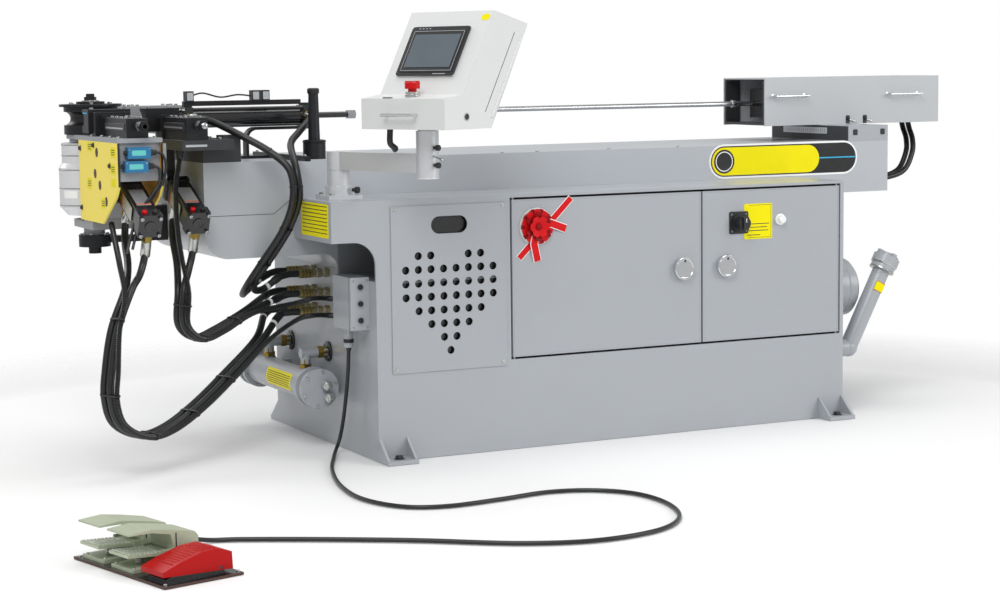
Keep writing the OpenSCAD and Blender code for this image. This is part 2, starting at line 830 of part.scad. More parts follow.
module main_switch() {
    color("#1d1f21") translate([right_x + 124, 0, 0]) union() {
        bar_y([0, y0 - 8.5, 609], 8, 26);
        bar_y([0, y0 - 38, 609], 30, 19);
        block([-9, y0 - 44, 590], [9, y0 - 30, 628]);
    }
}

module pedal_frame() {
    translate([pedal_x, pedal_y, 0]) rotate([0, 0, pedal_turn]) children();
}

// Plate of the pedal unit with the low tray under the red pedal
module pedal_base() {
    color("#1b1c1e") pedal_frame() union() {
        block([-pedal_w / 2, -pedal_l / 2, 0], [pedal_w / 2, pedal_l / 2, pedal_base_t]);
        translate([0, 36 - pedal_pitch, 0]) rotate([90, 0, 0]) linear_extrude(72) polygon([[-78, 0],
            [70, 0], [70, 30], [-20, 26], [-78, 12]]);
        bar_y([56, -pedal_pitch - 44, 19], 88, pin_r);
    }
}

// Guarded pedal body: sole, rear housing and a hood that reaches over the tread
module hood() {
    along = [[-88, pedal_base_t], [78, pedal_base_t], [78, 66], [70, 76], [10, 88], [-40, 96], [-96, 92],
        [-96, 88], [-40, 88], [8, 78], [14, 52], [14, 16], [-88, 14]];
    translate([0, 46, 0]) rotate([90, 0, 0]) linear_extrude(92) polygon(along);
    for (y = [-46, 41]) block([-10, y, 12], [16, y + 5, 46]);
    bar_y([2, -43, 35], 86, pin_r);
}

module pedal_hoods() {
    color("#9aa48f") pedal_frame() for (i = [0, 1])
        translate([0, i * pedal_pitch, 0]) hood();
}

module tread(i) {
    color("#c9cfc2") pedal_frame() translate([0, i * pedal_pitch + 40, 0]) rotate([90, 0, 0])
        linear_extrude(80) difference() {
            polygon([[-96, 46], [-8, 40], [8, 42], [8, 28], [-6, 28], [-12, 33], [-96, 39]]);
            translate([2, 35]) circle(pin_r + fit);
        }
}

module left_tread() {
    tread(1);
}

module mid_tread() {
    tread(0);
}

module stop_profile(in) {
    polygon([[-88 + in, 19 - 2 * in], [-88 + in, 30 - in], [-50, 44 - in], [10, 60 - in], [50, 62 - in],
        [84 - in, 50 - in], [86 - in, 12 - 2 * in]]);
}

module stop_pedal() {
    color("#c41a1a") pedal_frame() translate([0, -pedal_pitch, 0]) difference() {
        translate([0, 45, 0]) rotate([90, 0, 0]) linear_extrude(90) stop_profile(0);
        translate([0, 41, 0]) rotate([90, 0, 0]) linear_extrude(82) stop_profile(4);
        bar_y([56, -46, 19], 92, pin_r + fit);
    }
}

// Runs of the three hose bundles between the head and the end wall
arm_run = [[-1420, -283, 505], [-1466, -302, 404], [-1488, -311, 301], [-1494, -314, 222],
    [-1469, -303, 152], [-1393, -271, 111], [-1313, -237, 120], [-1213, -194, 169], [-1110, -150, 238],
    [-996, -102, 323]];
press_run = [[-1243, -175, 480], [-1246, -175, 390], [-1196, -159, 348], [-1130, -136, 363],
    [-1030, -102, 404]];

end_gap = 0.8;
function port_end(row, i) = [x0 - port_l - end_gap, port_y[i], port_rows[row]];
function port_run(row, i) = [for (d = [[62 + 10 * i, 4 + 12 * i, 8 + 2 * i], [30, 0, 0], [0, 0, 0]])
    port_end(row, i) - d];
// Points on the axis of an inclined cylinder's port, near its front (0) or its rear (1)
function port_out(x, y, z, rear) = [for (d = [end_gap, 12, 30]) let (a = rear ? -11 : -cyl_l + 17,
    h = -cyl_w / 2 - 12 - d) [x, y + a * cos(cyl_tilt) - h * sin(cyl_tilt), z + a * sin(cyl_tilt)
    + h * cos(cyl_tilt)]];
function shift(p, d) = [for (q = p) q + d];
// Last points of a conduit into the junction box's rear
function box_run(z) = [[-904, -138, z - 8], [-852, -130, z], [-815, -145, z], [x0 - 31, -177, z],
    [x0 - 30, -200, z], [x0 - 30, -215 + end_gap, z]];

module arm_hose_a() {
    color("#1a1b1c") tube(concat(port_out(spindle_x, clamp_cyl_y, clamp_cyl_z, 0),
        [[-1373, -240, 572], [-1390, -254, 537]], arm_run, port_run(2, 0)), hose_d);
}

module arm_hose_b() {
    color("#1a1b1c") tube(concat(port_out(spindle_x, clamp_cyl_y, clamp_cyl_z, 1),
        [[-1371, -72, 655], [-1381, -102, 612], [-1398, -180, 560]], shift(arm_run, [-10, 26, 0]),
        port_run(2, 1)), hose_d);
}

module arm_conduit() {
    color("#1a1b1c") tube(concat([[-1405, -60, 664], [-1424, -150, 632], [-1444, -262, 570],
        [-1448, -314, 490], [-1470, -330, 404]], shift([for (i = [2:9]) arm_run[i]], [9, -27, 0]),
        box_run(385)), conduit_d);
}

module pressure_hose_a() {
    color("#1a1b1c") tube(concat(port_out(press_x, press_cyl_y, press_cyl_z, 0),
        [[-1207, -141, 571], [-1221, -150, 532]], press_run, port_run(1, 0)), hose_d);
}

module pressure_hose_b() {
    color("#1a1b1c") tube(concat(port_out(press_x, press_cyl_y, press_cyl_z, 1),
        [[-1206, 26, 650], [-1215, -4, 604], [-1232, -86, 548]], shift(press_run, [-8, 26, 0]),
        port_run(1, 1)), hose_d);
}

module pressure_conduit() {
    color("#1a1b1c") tube(concat([[-1236, -150, 862 - end_gap], [-1236, -150, 848], [-1240, -151, 822],
        [-1250, -155, 770], [-1256, -170, 680], [-1252, -190, 580]], shift(press_run, [6, -24, 0]),
        box_run(433)), conduit_d);
}

module assist_hose_a() {
    color("#1a1b1c") tube(concat([[-1142, 45 - end_gap, 943], [-1142, 30, 943], [-1141, 5, 943],
        [-1118, -75, 936], [-1055, -150, 895], [-990, -195, 850], [-950, -232, 800], [-946, -238, 720],
        [-964, -204, 637], [-1004, -143, 546],
        [-1032, -98, 482], [-1028, -42, 449], [-1008, -4, 449], [-974, 24, 465]],
        port_run(0, 1)), hose_d);
}

module assist_hose_b() {
    color("#1a1b1c") tube(concat([[-788, 45 - end_gap, 943], [-788, 30, 943], [-790, 8, 942],
        [-814, -30, 930], [-862, -78, 901], [-905, -125, 872], [-922, -185, 835], [-925, -222, 790],
        [-922, -224, 720], [-942, -191, 637], [-980, -130, 546],
        [-1008, -96, 494], [-1002, -66, 462], [-978, -51, 458], [-952, -48, 470]],
        port_run(0, 0)), hose_d);
}

module rear_hoses() {
    color("#1a1b1c") for (i = [0, 1]) tube(shift([[1420, 152, 899 - end_gap], [1420, 152, 876],
        [1422, 146, 850], [1416, 120, 815], [1400, 100, 770], [1360, 92, 712], [1280, 90, 690],
        [1200, 90, 690], [bed_x2, 90, 690]], [0, i * 34, 0]), hose_d - 2);
}

module pedal_cord() {
    color("#1a1b1c") tube([[x0 - 28, -258, 306], [x0 - 30, -250, 220], [x0 - 32, -225, 120],
        [x0 - 38, -207, 50], [x0 - 58, -225, 18], [x0 - 92, -290, 8], [x0 - 165, -460, 6],
        [x0 - 225, -670, 6], [x0 - 240, -850, 6], [x0 - 190, -985, 6], [x0 - 90, -1035, 6], [x0 + 60, -1025, 6],
        [x0 + 200, -1005, 6], [x0 + 310, -1040, 6], [x0 + 385, -1130, 6], [x0 + 395, -1270, 6],
        [x0 + 340, -1420, 6], [x0 + 225, -1520, 6], [x0 + 50, -1545, 6], [x0 - 120, -1485, 6],
        [x0 - 310, -1345, 6], [x0 - 500, -1225, 6], [x0 - 660, -1135, 6], [x0 - 730, -1110, 7],
        [x0 - 790, -1115, 20], [x0 - 832, -1127, 34], [-1628, -1134.7, 36]], cord_d, 3);
}

front_plate();
deck_plate();
end_plates();
back_plate();
bottom_plate();
inner_frame();
feet();
perforated_cover();
bed();
pedestal();
mandrel_cover();
cover_handles();
mandrel_cylinder();
mandrel_rod();
junction_box();
manifold();
water_cooler();
filler_pipe();
motor_cowl();
spindle_housing();
lower_bearing();
arm_frame();
arm_plates();
bend_die();
clamp_cylinder();
arm_switches();
clamp_slide();
pressure_base();
pressure_cylinder();
pressure_slide();
wiper_bracket();
assist_cylinder();
assist_rail();
support_post();
cross_bar();
panel_post();
panel_arm();
panel_column();
control_box();
stop_button();
left_door();
right_door();
left_knob();
right_knob();
main_switch();
pedal_base();
pedal_hoods();
left_tread();
mid_tread();
stop_pedal();
arm_hose_a();
arm_hose_b();
arm_conduit();
pressure_hose_a();
pressure_hose_b();
pressure_conduit();
assist_hose_a();
assist_hose_b();
rear_hoses();
pedal_cord();
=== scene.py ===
"""Looks for the tube bender: paints, hoses, labels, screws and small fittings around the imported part."""
import json
import math

import bpy
from mathutils import Matrix, Vector
from mathutils.geometry import convex_hull_2d


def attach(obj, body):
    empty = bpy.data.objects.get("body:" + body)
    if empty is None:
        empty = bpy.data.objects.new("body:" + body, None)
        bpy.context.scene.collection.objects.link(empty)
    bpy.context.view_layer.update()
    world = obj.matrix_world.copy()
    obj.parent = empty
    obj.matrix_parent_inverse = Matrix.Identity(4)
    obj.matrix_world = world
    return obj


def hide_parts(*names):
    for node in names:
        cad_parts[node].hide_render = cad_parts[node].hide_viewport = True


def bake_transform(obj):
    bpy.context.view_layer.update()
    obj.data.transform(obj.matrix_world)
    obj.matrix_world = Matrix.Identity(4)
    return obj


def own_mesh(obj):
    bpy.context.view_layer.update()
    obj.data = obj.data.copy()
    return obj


MM = 0.001
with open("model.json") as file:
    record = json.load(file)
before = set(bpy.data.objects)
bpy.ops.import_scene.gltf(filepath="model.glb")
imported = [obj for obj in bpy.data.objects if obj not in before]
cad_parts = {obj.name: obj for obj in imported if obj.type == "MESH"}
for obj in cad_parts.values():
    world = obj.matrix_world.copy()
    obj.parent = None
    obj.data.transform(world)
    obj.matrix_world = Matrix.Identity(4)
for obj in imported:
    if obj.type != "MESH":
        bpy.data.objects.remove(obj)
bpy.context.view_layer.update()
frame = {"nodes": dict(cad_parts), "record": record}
nodes = frame["nodes"]

# Camera at the photograph's place
YAW, PITCH, ROLL = (math.radians(a) for a in (26.26, 6.39, 0.70))
FOCAL_PX, WIDTH_PX = 2130.7, 1000


def make_camera():
    ahead = Vector((math.sin(YAW) * math.cos(PITCH), math.cos(YAW) * math.cos(PITCH), -math.sin(PITCH)))
    level = Vector((math.cos(YAW), -math.sin(YAW), 0))
    under = ahead.cross(level)
    right = math.cos(ROLL) * level + math.sin(ROLL) * under
    up = math.sin(ROLL) * level - math.cos(ROLL) * under
    data = bpy.data.cameras.new("camera")
    data.lens = FOCAL_PX * 36 / WIDTH_PX
    data.sensor_width = 36
    data.clip_end = 60
    camera = bpy.data.objects.new("camera", data)
    bpy.context.scene.collection.objects.link(camera)
    turn = Matrix((right, up, -ahead)).transposed().to_4x4()
    camera.matrix_world = Matrix.Translation((-3.019, -5.714, 1.091)) @ turn
    bpy.context.scene.camera = camera


make_camera()


# Materials

def linear(code):
    """Linear colour of a six-digit sRGB code."""
    parts = [int(code[i:i + 2], 16) / 255 for i in (0, 2, 4)]
    return [c / 12.92 if c <= 0.04045 else ((c + 0.055) / 1.055) ** 2.4 for c in parts] + [1]


def finish_of(name, code, rough, metal=0.0, spread=0.04, grain=30.0, bump=0.05, bump_scale=900.0, coat=0.0,
              edge=0.0012, stretch=(1, 1, 1), rough_spread=0.08, shine=0.5):
    """Painted, cast, plated or moulded surface with slight colour, gloss and height variation."""
    m = bpy.data.materials.new(name)
    m.use_nodes = True
    tree = m.node_tree
    shader = tree.nodes["Principled BSDF"]
    place = tree.nodes.new("ShaderNodeTexCoord")
    scale = tree.nodes.new("ShaderNodeMapping")
    scale.inputs["Scale"].default_value = stretch
    tree.links.new(place.outputs["Object"], scale.inputs["Vector"])
    cloud = tree.nodes.new("ShaderNodeTexNoise")
    cloud.inputs["Scale"].default_value = grain
    cloud.inputs["Detail"].default_value = 5
    fine = tree.nodes.new("ShaderNodeTexNoise")
    fine.inputs["Scale"].default_value = bump_scale
    fine.inputs["Detail"].default_value = 2
    for n in (cloud, fine):
        tree.links.new(scale.outputs["Vector"], n.inputs["Vector"])
    base = linear(code)
    mix = tree.nodes.new("ShaderNodeMix")
    mix.data_type = "RGBA"
    mix.inputs[6].default_value = [c * (1 - spread) for c in base[:3]] + [1]
    mix.inputs[7].default_value = [min(1, c * (1 + spread)) for c in base[:3]] + [1]
    tree.links.new(cloud.outputs["Fac"], mix.inputs[0])
    tree.links.new(mix.outputs[2], shader.inputs["Base Color"])
    gloss = tree.nodes.new("ShaderNodeMapRange")
    gloss.inputs["To Min"].default_value = max(0.02, rough - rough_spread)
    gloss.inputs["To Max"].default_value = min(1, rough + rough_spread)
    tree.links.new(cloud.outputs["Fac"], gloss.inputs["Value"])
    tree.links.new(gloss.outputs["Result"], shader.inputs["Roughness"])
    relief = tree.nodes.new("ShaderNodeBump")
    relief.inputs["Strength"].default_value = bump
    relief.inputs["Distance"].default_value = 0.0006
    tree.links.new(fine.outputs["Fac"], relief.inputs["Height"])
    if edge:
        round_edge = tree.nodes.new("ShaderNodeBevel")
        round_edge.samples = 4
        round_edge.inputs["Radius"].default_value = edge
        tree.links.new(round_edge.outputs["Normal"], relief.inputs["Normal"])
    tree.links.new(relief.outputs["Normal"], shader.inputs["Normal"])
    shader.inputs["Metallic"].default_value = metal
    shader.inputs["Specular IOR Level"].default_value = shine
    if coat:
        shader.inputs["Coat Weight"].default_value = coat
        shader.inputs["Coat Roughness"].default_value = 0.12
    return m


PAINTS = {
    "body_paint": finish_of("body_paint", "a3a7ac", 0.36, coat=0.2, spread=0.02, grain=9),
    "inner_paint": finish_of("inner_paint", "8b8f94", 0.55, spread=0.05),
    "cover_paint": finish_of("cover_paint", "b6b9bc", 0.34, coat=0.25, spread=0.02, grain=12),
    "chrome_bar": finish_of("chrome_bar", "dcdee0", 0.14, metal=1, rough_spread=0.04, bump=0.01),
    "chrome_knob": finish_of("chrome_knob", "e2e4e6", 0.1, metal=1, rough_spread=0.03, bump=0.01),
    "black_steel": finish_of("black_steel", "2a2b2d", 0.38, metal=0.55, spread=0.2, grain=60),
    "bright_steel": finish_of("bright_steel", "b4b5b7", 0.24, metal=1, stretch=(1, 12, 12), spread=0.08),
    "brass_fitting": finish_of("brass_fitting", "a89c74", 0.3, metal=0.9, spread=0.25, grain=90),
    "turned_steel": finish_of("turned_steel", "dfe0e2", 0.3, metal=0.3, stretch=(1, 1, 30), spread=0.05, bump=0.15),
    "gray_iron": finish_of("gray_iron", "96999d", 0.42, spread=0.05, grain=40, bump=0.12, bump_scale=500),
    "dark_iron": finish_of("dark_iron", "3c3d40", 0.4, metal=0.3, spread=0.15, grain=50, bump=0.15),
    "yellow_paint": finish_of("yellow_paint", "fbe667", 0.5, spread=0.015, shine=0.25),
    "black_paint": finish_of("black_paint", "191a1c", 0.26, coat=0.5, spread=0.2, grain=25),
    "blue_plastic": finish_of("blue_plastic", "1f6f9e", 0.4, spread=0.06),
    "white_paint": finish_of("white_paint", "d6d8d7", 0.45, spread=0.01, grain=14, bump=0.1),
    "red_plastic": finish_of("red_plastic", "c4060c", 0.3, spread=0.03, shine=0.25),
    "black_plastic": finish_of("black_plastic", "1c1d1f", 0.45, spread=0.1, bump=0.2),
    "pedal_green": finish_of("pedal_green", "b0b89f", 0.4, metal=0.15, spread=0.08, grain=80, bump=0.3, bump_scale=350),
    "red_paint": finish_of("red_paint", "b00406", 0.38, spread=0.05, shine=0.2),
    "hose_rubber": finish_of("hose_rubber", "1b1c1d", 0.36, spread=0.15, grain=60, edge=0, bump=0.1),
}
MORE = {
    "amber_paint": finish_of("amber_paint", "e0a024", 0.42, spread=0.03),
    "sticker_yellow": finish_of("sticker_yellow", "ece000", 0.5, spread=0.02, edge=0, shine=0.15),
    "sticker_white": finish_of("sticker_white", "f2f3f2", 0.35, spread=0.01, edge=0),
    "sticker_silver": finish_of("sticker_silver", "c9ccd0", 0.3, metal=0.6, edge=0),
    "sticker_orange": finish_of("sticker_orange", "d9642a", 0.4, edge=0),
    # Serves print and dark joints, and also painted shade in holes
    "ink": finish_of("ink", "232527", 0.5, edge=0),
    "cyan_line": finish_of("cyan_line", "28b4e0", 0.4, edge=0),
    "plate_yellow": finish_of("plate_yellow", "f2e400", 0.45, edge=0, shine=0.15),
    "plate_black": finish_of("plate_black", "141517", 0.22, coat=0.4, edge=0),
    "ribbon_red": finish_of("ribbon_red", "cf0d16", 0.5, spread=0.1, bump=0.2, edge=0, shine=0.2),
    "zinc": finish_of("zinc", "c4c6c2", 0.28, metal=1, spread=0.12, grain=70),
    "olive_zinc": finish_of("olive_zinc", "8e7a3e", 0.3, metal=1, spread=0.3, grain=120),
    "screen_glass": finish_of("screen_glass", "59636b", 0.14, coat=0.3, spread=0.12, grain=14, edge=0),
    "teal_label": finish_of("teal_label", "62c0bc", 0.4, edge=0),
    # Darker copy of ribbon_red: painted shade on the bow
    "ribbon_dark": finish_of("ribbon_dark", "8c070e", 0.5, spread=0.1, edge=0, shine=0.2),
    "glow_red": finish_of("glow_red", "e2452c", 0.3, coat=0.5),
    "satin_alloy": finish_of("satin_alloy", "ccced1", 0.32, metal=0.35, spread=0.03, stretch=(1, 1, 8)),
    # Lighter copy of body_paint for the bed: painted light
    "bed_paint": finish_of("bed_paint", "b1b5ba", 0.36, coat=0.2, spread=0.02, grain=9),
    "rib_metal": finish_of("rib_metal", "d3d8cc", 0.32, metal=0.5, spread=0.08),
    # Brown for the pedal tray's edge, and painted shade in the arm's holes
    "brown_edge": finish_of("brown_edge", "4a2c22", 0.5),
    "clear_white": finish_of("clear_white", "e9ecec", 0.2, coat=0.6),
    "floor_white": finish_of("floor_white", "f4f4f4", 0.7, spread=0.0, bump=0.02, edge=0),
}
MATS = {**PAINTS, **MORE}
slot_of = {p["node"]: p["material_slot"] for p in frame["record"]["subparts"]}
# The bed takes the lighter copy of the body paint, which is painted light
looks = {"panel_arm": "satin_alloy", "panel_post": "satin_alloy", "panel_column": "satin_alloy", "bed": "bed_paint", "perforated_cover": "body_paint",
         "junction_box": "body_paint"}
for name, obj in nodes.items():
    obj.data.materials.clear()
    obj.data.materials.append(MATS[looks.get(name, slot_of[name])])


# Shapes in millimetres: each returns (points, faces)

def axes_of(direction):
    """Two directions square to this one."""
    d = Vector(direction).normalized()
    helper = Vector((0, 0, 1)) if abs(d.z) < 0.9 else Vector((0, 1, 0))
    u = helper.cross(d).normalized()
    return u, d.cross(u), d


def box(a, b):
    """Box given by two corners."""
    points = [Vector((x, y, z)) for x in (a[0], b[0]) for y in (a[1], b[1]) for z in (a[2], b[2])]
    return points, [(0, 1, 3, 2), (4, 6, 7, 5), (0, 4, 5, 1), (2, 3, 7, 6), (0, 2, 6, 4), (1, 5, 7, 3)]


def lathe(start, direction, profile, sides=32):
    """Turned shape: profile lists (distance along, radius), closed at both ends."""
    u, v, d = axes_of(direction)
    points, faces = [], []
    for along, r in profile:
        points += [Vector(start) + d * along + (u * math.cos(a) + v * math.sin(a)) * max(r, 0.01)
                   for a in (2 * math.pi * k / sides for k in range(sides))]
    for i in range(len(profile) - 1):
        for k in range(sides):
            a, b = i * sides + k, i * sides + (k + 1) % sides
            faces.append((a, b, b + sides, a + sides))
    last = (len(profile) - 1) * sides
    return points, faces + [tuple(reversed(range(sides))), tuple(range(last, last + sides))]


def rod(a, b, r, sides=24):
    """Round bar between two points."""
    a, b = Vector(a), Vector(b)
    return lathe(a, b - a, [(0, r), ((b - a).length, r)], sides)


def plate(outline, corner, across, up, thick):
    """Flat piece: outline in (across, up) from corner, standing proud by thick."""
    across, up = Vector(across).normalized(), Vector(up).normalized()
    out = across.cross(up)
    n = len(outline)
    low = [Vector(corner) + across * x + up * y for x, y in outline]
    points = low + [p + out * thick for p in low]
    walls = [(k, (k + 1) % n, n + (k + 1) % n, n + k) for k in range(n)]
    return points, walls + [tuple(reversed(range(n))), tuple(range(n, 2 * n))]


def rounded(w, h, r, steps=5):
    """Rectangle from (0, 0) with rounded corners."""
    out = []
    for cx, cy, a0 in ((w - r, h - r, 0), (r, h - r, 90), (r, r, 180), (w - r, r, 270)):
        for k in range(steps + 1):
            a = math.radians(a0 + 90 * k / steps)
            out.append((cx + r * math.cos(a), cy + r * math.sin(a)))
    return out


def smooth(points, steps):
    """Same curve through the chosen points as the part's own tubes."""
    p = [Vector(q) for q in points]
    at = lambda i: p[max(0, min(len(p) - 1, i))]
    out = []
    for i in range(len(p) - 1):
        a, b, c, d = at(i - 1), at(i), at(i + 1), at(i + 2)
        for k in range(steps):
            t = k / steps
            out.append(0.5 * (2 * b + (c - a) * t + (2 * a - 5 * b + 4 * c - d) * t * t
                              + (3 * b - a - 3 * c + d) * t ** 3))
    return out + [p[-1]]


def sweep(path, radius, sides=12):
    """Tube along a path; radius is a number or a function of the length along."""
    points, faces, length = [], [], 0.0
    u = None
    for i, q in enumerate(path):
        heading = (path[min(i + 1, len(path) - 1)] - path[max(i - 1, 0)]).normalized()
        u = axes_of(heading)[0] if u is None else (u - heading * u.dot(heading)).normalized()
        v = heading.cross(u)
        length += (q - path[i - 1]).length if i else 0
        r = radius(length) if callable(radius) else radius
        points += [q + (u * math.cos(a) + v * math.sin(a)) * r
                   for a in (2 * math.pi * k / sides for k in range(sides))]
    for i in range(len(path) - 1):
        for k in range(sides):
            a, b = i * sides + k, i * sides + (k + 1) % sides
            faces.append((a, b, b + sides, a + sides))
    last = (len(path) - 1) * sides
    return points, faces + [tuple(reversed(range(sides))), tuple(range(last, last + sides))]


def shape_to_object(name, shapes, soft=False):
    mesh = bpy.data.meshes.new(name)
    points, faces = [], []
    for p, f in shapes:
        faces += [tuple(i + len(points) for i in face) for face in f]
        points += p
    mesh.from_pydata([q * MM for q in points], [], faces)
    mesh.update()
    obj = bpy.data.objects.new(name, mesh)
    bpy.context.scene.collection.objects.link(obj)
    if soft:
        mesh.polygons.foreach_set("use_smooth", [True] * len(mesh.polygons))
        mesh.set_sharp_from_angle(angle=math.radians(40))
    return obj


def piece(name, body, material, *shapes, slot=None, bevel=0.0, soft=True):
    """One object from one or more shapes, riding on a body."""
    obj = shape_to_object(name, shapes, soft)
    obj.data.materials.append(MATS[material])
    if bevel:
        mod = obj.modifiers.new("edges", "BEVEL")
        mod.width = bevel * MM
        mod.segments = 2
        mod.limit_method = "ANGLE"
    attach(obj, body)
    return obj


# Hoses first: the same routes as in the part's source, in millimetres

HOSE, CONDUIT, CORD = 20, 16, 11
GAP = 0.8
PORT_X, PORT_Y, PORT_Z = -770 - 92 - GAP, (-45, 55), (497, 440, 388)
ARM_RUN = [(-1420, -283, 505), (-1466, -302, 404), (-1488, -311, 301), (-1494, -314, 222), (-1469, -303, 152),
           (-1393, -271, 111), (-1313, -237, 120), (-1213, -194, 169), (-1110, -150, 238), (-996, -102, 323)]
PRESS_RUN = [(-1243, -175, 480), (-1246, -175, 390), (-1196, -159, 348), (-1130, -136, 363), (-1030, -102, 404)]


def moved(run, by):
    return [tuple(a + b for a, b in zip(q, by)) for q in run]


def to_port(row, side):
    x, y, z = PORT_X, PORT_Y[side], PORT_Z[row]
    return [(x - a, y - b, z - c) for a, b, c in ((62 + 10 * side, 4 + 12 * side, 8 + 2 * side), (30, 0, 0), (0, 0, 0))]


def to_box(z):
    return [(-904, -138, z - 8), (-852, -130, z), (-815, -145, z), (-801, -177, z), (-800, -200, z), (-800, -215 + GAP, z)]


def from_port(x, y, z, along):
    tilt = math.radians(25)
    return [(x, y + along * math.cos(tilt) + h * math.sin(tilt), z + along * math.sin(tilt) - h * math.cos(tilt))
            for h in (44 + GAP, 56, 74)]


ROUTES = {
    "arm_hose_a": (HOSE, from_port(-1368, -100, 761, -198) + [(-1373, -240, 572), (-1390, -254, 537)] + ARM_RUN + to_port(2, 0)),
    "arm_hose_b": (HOSE, from_port(-1368, -100, 761, -11) + [(-1371, -72, 655), (-1381, -102, 612), (-1398, -180, 560)]
                   + moved(ARM_RUN, (-10, 26, 0)) + to_port(2, 1)),
    "arm_conduit": (CONDUIT, [(-1405, -60, 664), (-1424, -150, 632), (-1444, -262, 570), (-1448, -314, 490),
                              (-1470, -330, 404)] + moved(ARM_RUN[2:], (9, -27, 0)) + to_box(385)),
    "pressure_hose_a": (HOSE, from_port(-1203, 0, 756, -198) + [(-1207, -141, 571), (-1221, -150, 532)] + PRESS_RUN + to_port(1, 0)),
    "pressure_hose_b": (HOSE, from_port(-1203, 0, 756, -11) + [(-1206, 26, 650), (-1215, -4, 604), (-1232, -86, 548)]
                        + moved(PRESS_RUN, (-8, 26, 0)) + to_port(1, 1)),
    "pressure_conduit": (CONDUIT, [(-1236, -150, 862 - GAP), (-1236, -150, 848), (-1240, -151, 822),
                                   (-1250, -155, 770), (-1256, -170, 680), (-1252, -190, 580)]
                         + moved(PRESS_RUN, (6, -24, 0)) + to_box(433)),
    "assist_hose_a": (HOSE, [(-1142, 45 - GAP, 943), (-1142, 30, 943), (-1141, 5, 943), (-1118, -75, 936),
                             (-1055, -150, 895), (-990, -195, 850), (-950, -232, 800), (-946, -238, 720),
                             (-964, -204, 637), (-1004, -143, 546), (-1032, -98, 482), (-1028, -42, 449),
                             (-1008, -4, 449), (-974, 24, 465)] + to_port(0, 1)),
    "assist_hose_b": (HOSE, [(-788, 45 - GAP, 943), (-788, 30, 943), (-790, 8, 942), (-814, -30, 930), (-862, -78, 901),
                             (-905, -125, 872), (-922, -185, 835), (-925, -222, 790), (-922, -224, 720),
                             (-942, -191, 637), (-980, -130, 546), (-1008, -96, 494), (-1002, -66, 462),
                             (-978, -51, 458), (-952, -48, 470)] + to_port(0, 0)),
    "pedal_cord": (CORD, [(-798, -258, 306), (-800, -250, 220), (-802, -225, 120), (-808, -207, 50),
                          (-828, -225, 18), (-862, -290, 8), (-935, -460, 6), (-995, -670, 6),
                          (-1010, -850, 6), (-960, -985, 6), (-860, -1035, 6), (-710, -1025, 6),
                          (-570, -1005, 6), (-460, -1040, 6), (-385, -1130, 6), (-375, -1270, 6),
                          (-430, -1420, 6), (-545, -1520, 6), (-720, -1545, 6), (-890, -1485, 6),
                          (-1080, -1345, 6), (-1270, -1225, 6), (-1430, -1135, 6), (-1500, -1110, 7),
                          (-1560, -1115, 20), (-1602, -1127, 34), (-1628, -1134.7, 36)]),
}
REAR = [(1420, 152, 899 - GAP), (1420, 152, 876), (1422, 146, 850), (1416, 120, 815), (1400, 100, 770),
        (1360, 92, 712), (1280, 90, 690), (1200, 90, 690), (1139, 90, 690)]
for i in (0, 1):
    ROUTES[f"rear_hose_{i}"] = (HOSE - 2, moved(REAR, (0, 34 * i, 0)))
RIB = 5.0


def ribbed(d):
    return lambda s: d / 2 - 1.1 + 1.1 * math.cos(2 * math.pi * s / RIB)


def resample(path, step):
    """Points along a path at an even step."""
    out, left = [path[0]], step
    for a, b in zip(path, path[1:]):
        d, done = (b - a).length, 0.0
        while d - done >= left:
            done += left
            out.append(a.lerp(b, done / d))
            left = step
        left -= d - done
    if (out[-1] - path[-1]).length < step / 3:
        out.pop()
    return out + [path[-1]]


def length_of(path):
    return sum((b - a).length for a, b in zip(path, path[1:]))


paths, hoses, carried = {}, {}, {}


def lay_on(obj, name):
    """Bakes an arm hose, or a piece on it, in place; hangs any other on the machine body."""
    if name.startswith("arm_"):
        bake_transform(obj)
    else:
        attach(obj, "machine")


def on_hose(label, name, material, shape):
    """Small piece that goes with a hose."""
    obj = shape_to_object(label, [shape], False)
    obj.data.materials.append(MATS[material])
    lay_on(obj, name)
    carried.setdefault(name, []).append(obj)


for name, (d, route) in ROUTES.items():
    path = resample(smooth(route, 16), RIB / 4 if "conduit" in name else 9.0)
    paths[name] = path
    shape = sweep(path, ribbed(d) if "conduit" in name else d / 2, 12)
    obj = shape_to_object("line_" + name, [shape], True)
    obj.data.materials.append(MATS["hose_rubber"])
    hoses[name] = obj
    lay_on(obj, name)
    if name == "rear_hose_0":
        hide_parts("rear_hoses")
    elif not name.startswith("rear"):
        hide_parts(name)


def tangent(path, i):
    return (path[min(i + 1, len(path) - 1)] - path[max(i - 1, 0)]).normalized()


def part_of(path, start, end):
    """Stretch of a path between two lengths along it."""
    out, s = [], 0.0
    for i, q in enumerate(path):
        s += (q - path[i - 1]).length if i else 0
        if start <= s <= end:
            out.append(q)
    return out


# Crimped ends, sleeves and white bands on the hydraulic hoses
for name, body in (("arm_hose_a", "arm"), ("arm_hose_b", "arm"), ("pressure_hose_a", "machine"),
                   ("pressure_hose_b", "machine"), ("assist_hose_a", "machine"), ("assist_hose_b", "machine")):
    path = paths[name]
    d = tangent(path, 1)
    piece("crimp_" + name, body, "zinc", lathe(path[0], d, [(0, 9), (2, 13), (26, 13.5), (52, 13.5), (56, 11)], 24))
    piece("nut_" + name, body, "olive_zinc", lathe(path[0], d, [(-14, 15), (8, 15)], 6), bevel=1)
    total = length_of(path)
    sleeve = part_of(path, total - 88, total - 56)
    on_hose("sleeve_" + name, name, "hose_rubber", sweep(sleeve, 11.6, 16))
    band = part_of(path, total - 108, total - 94)
    on_hose("band_" + name, name, "sticker_white", sweep(band, 10.7, 16))


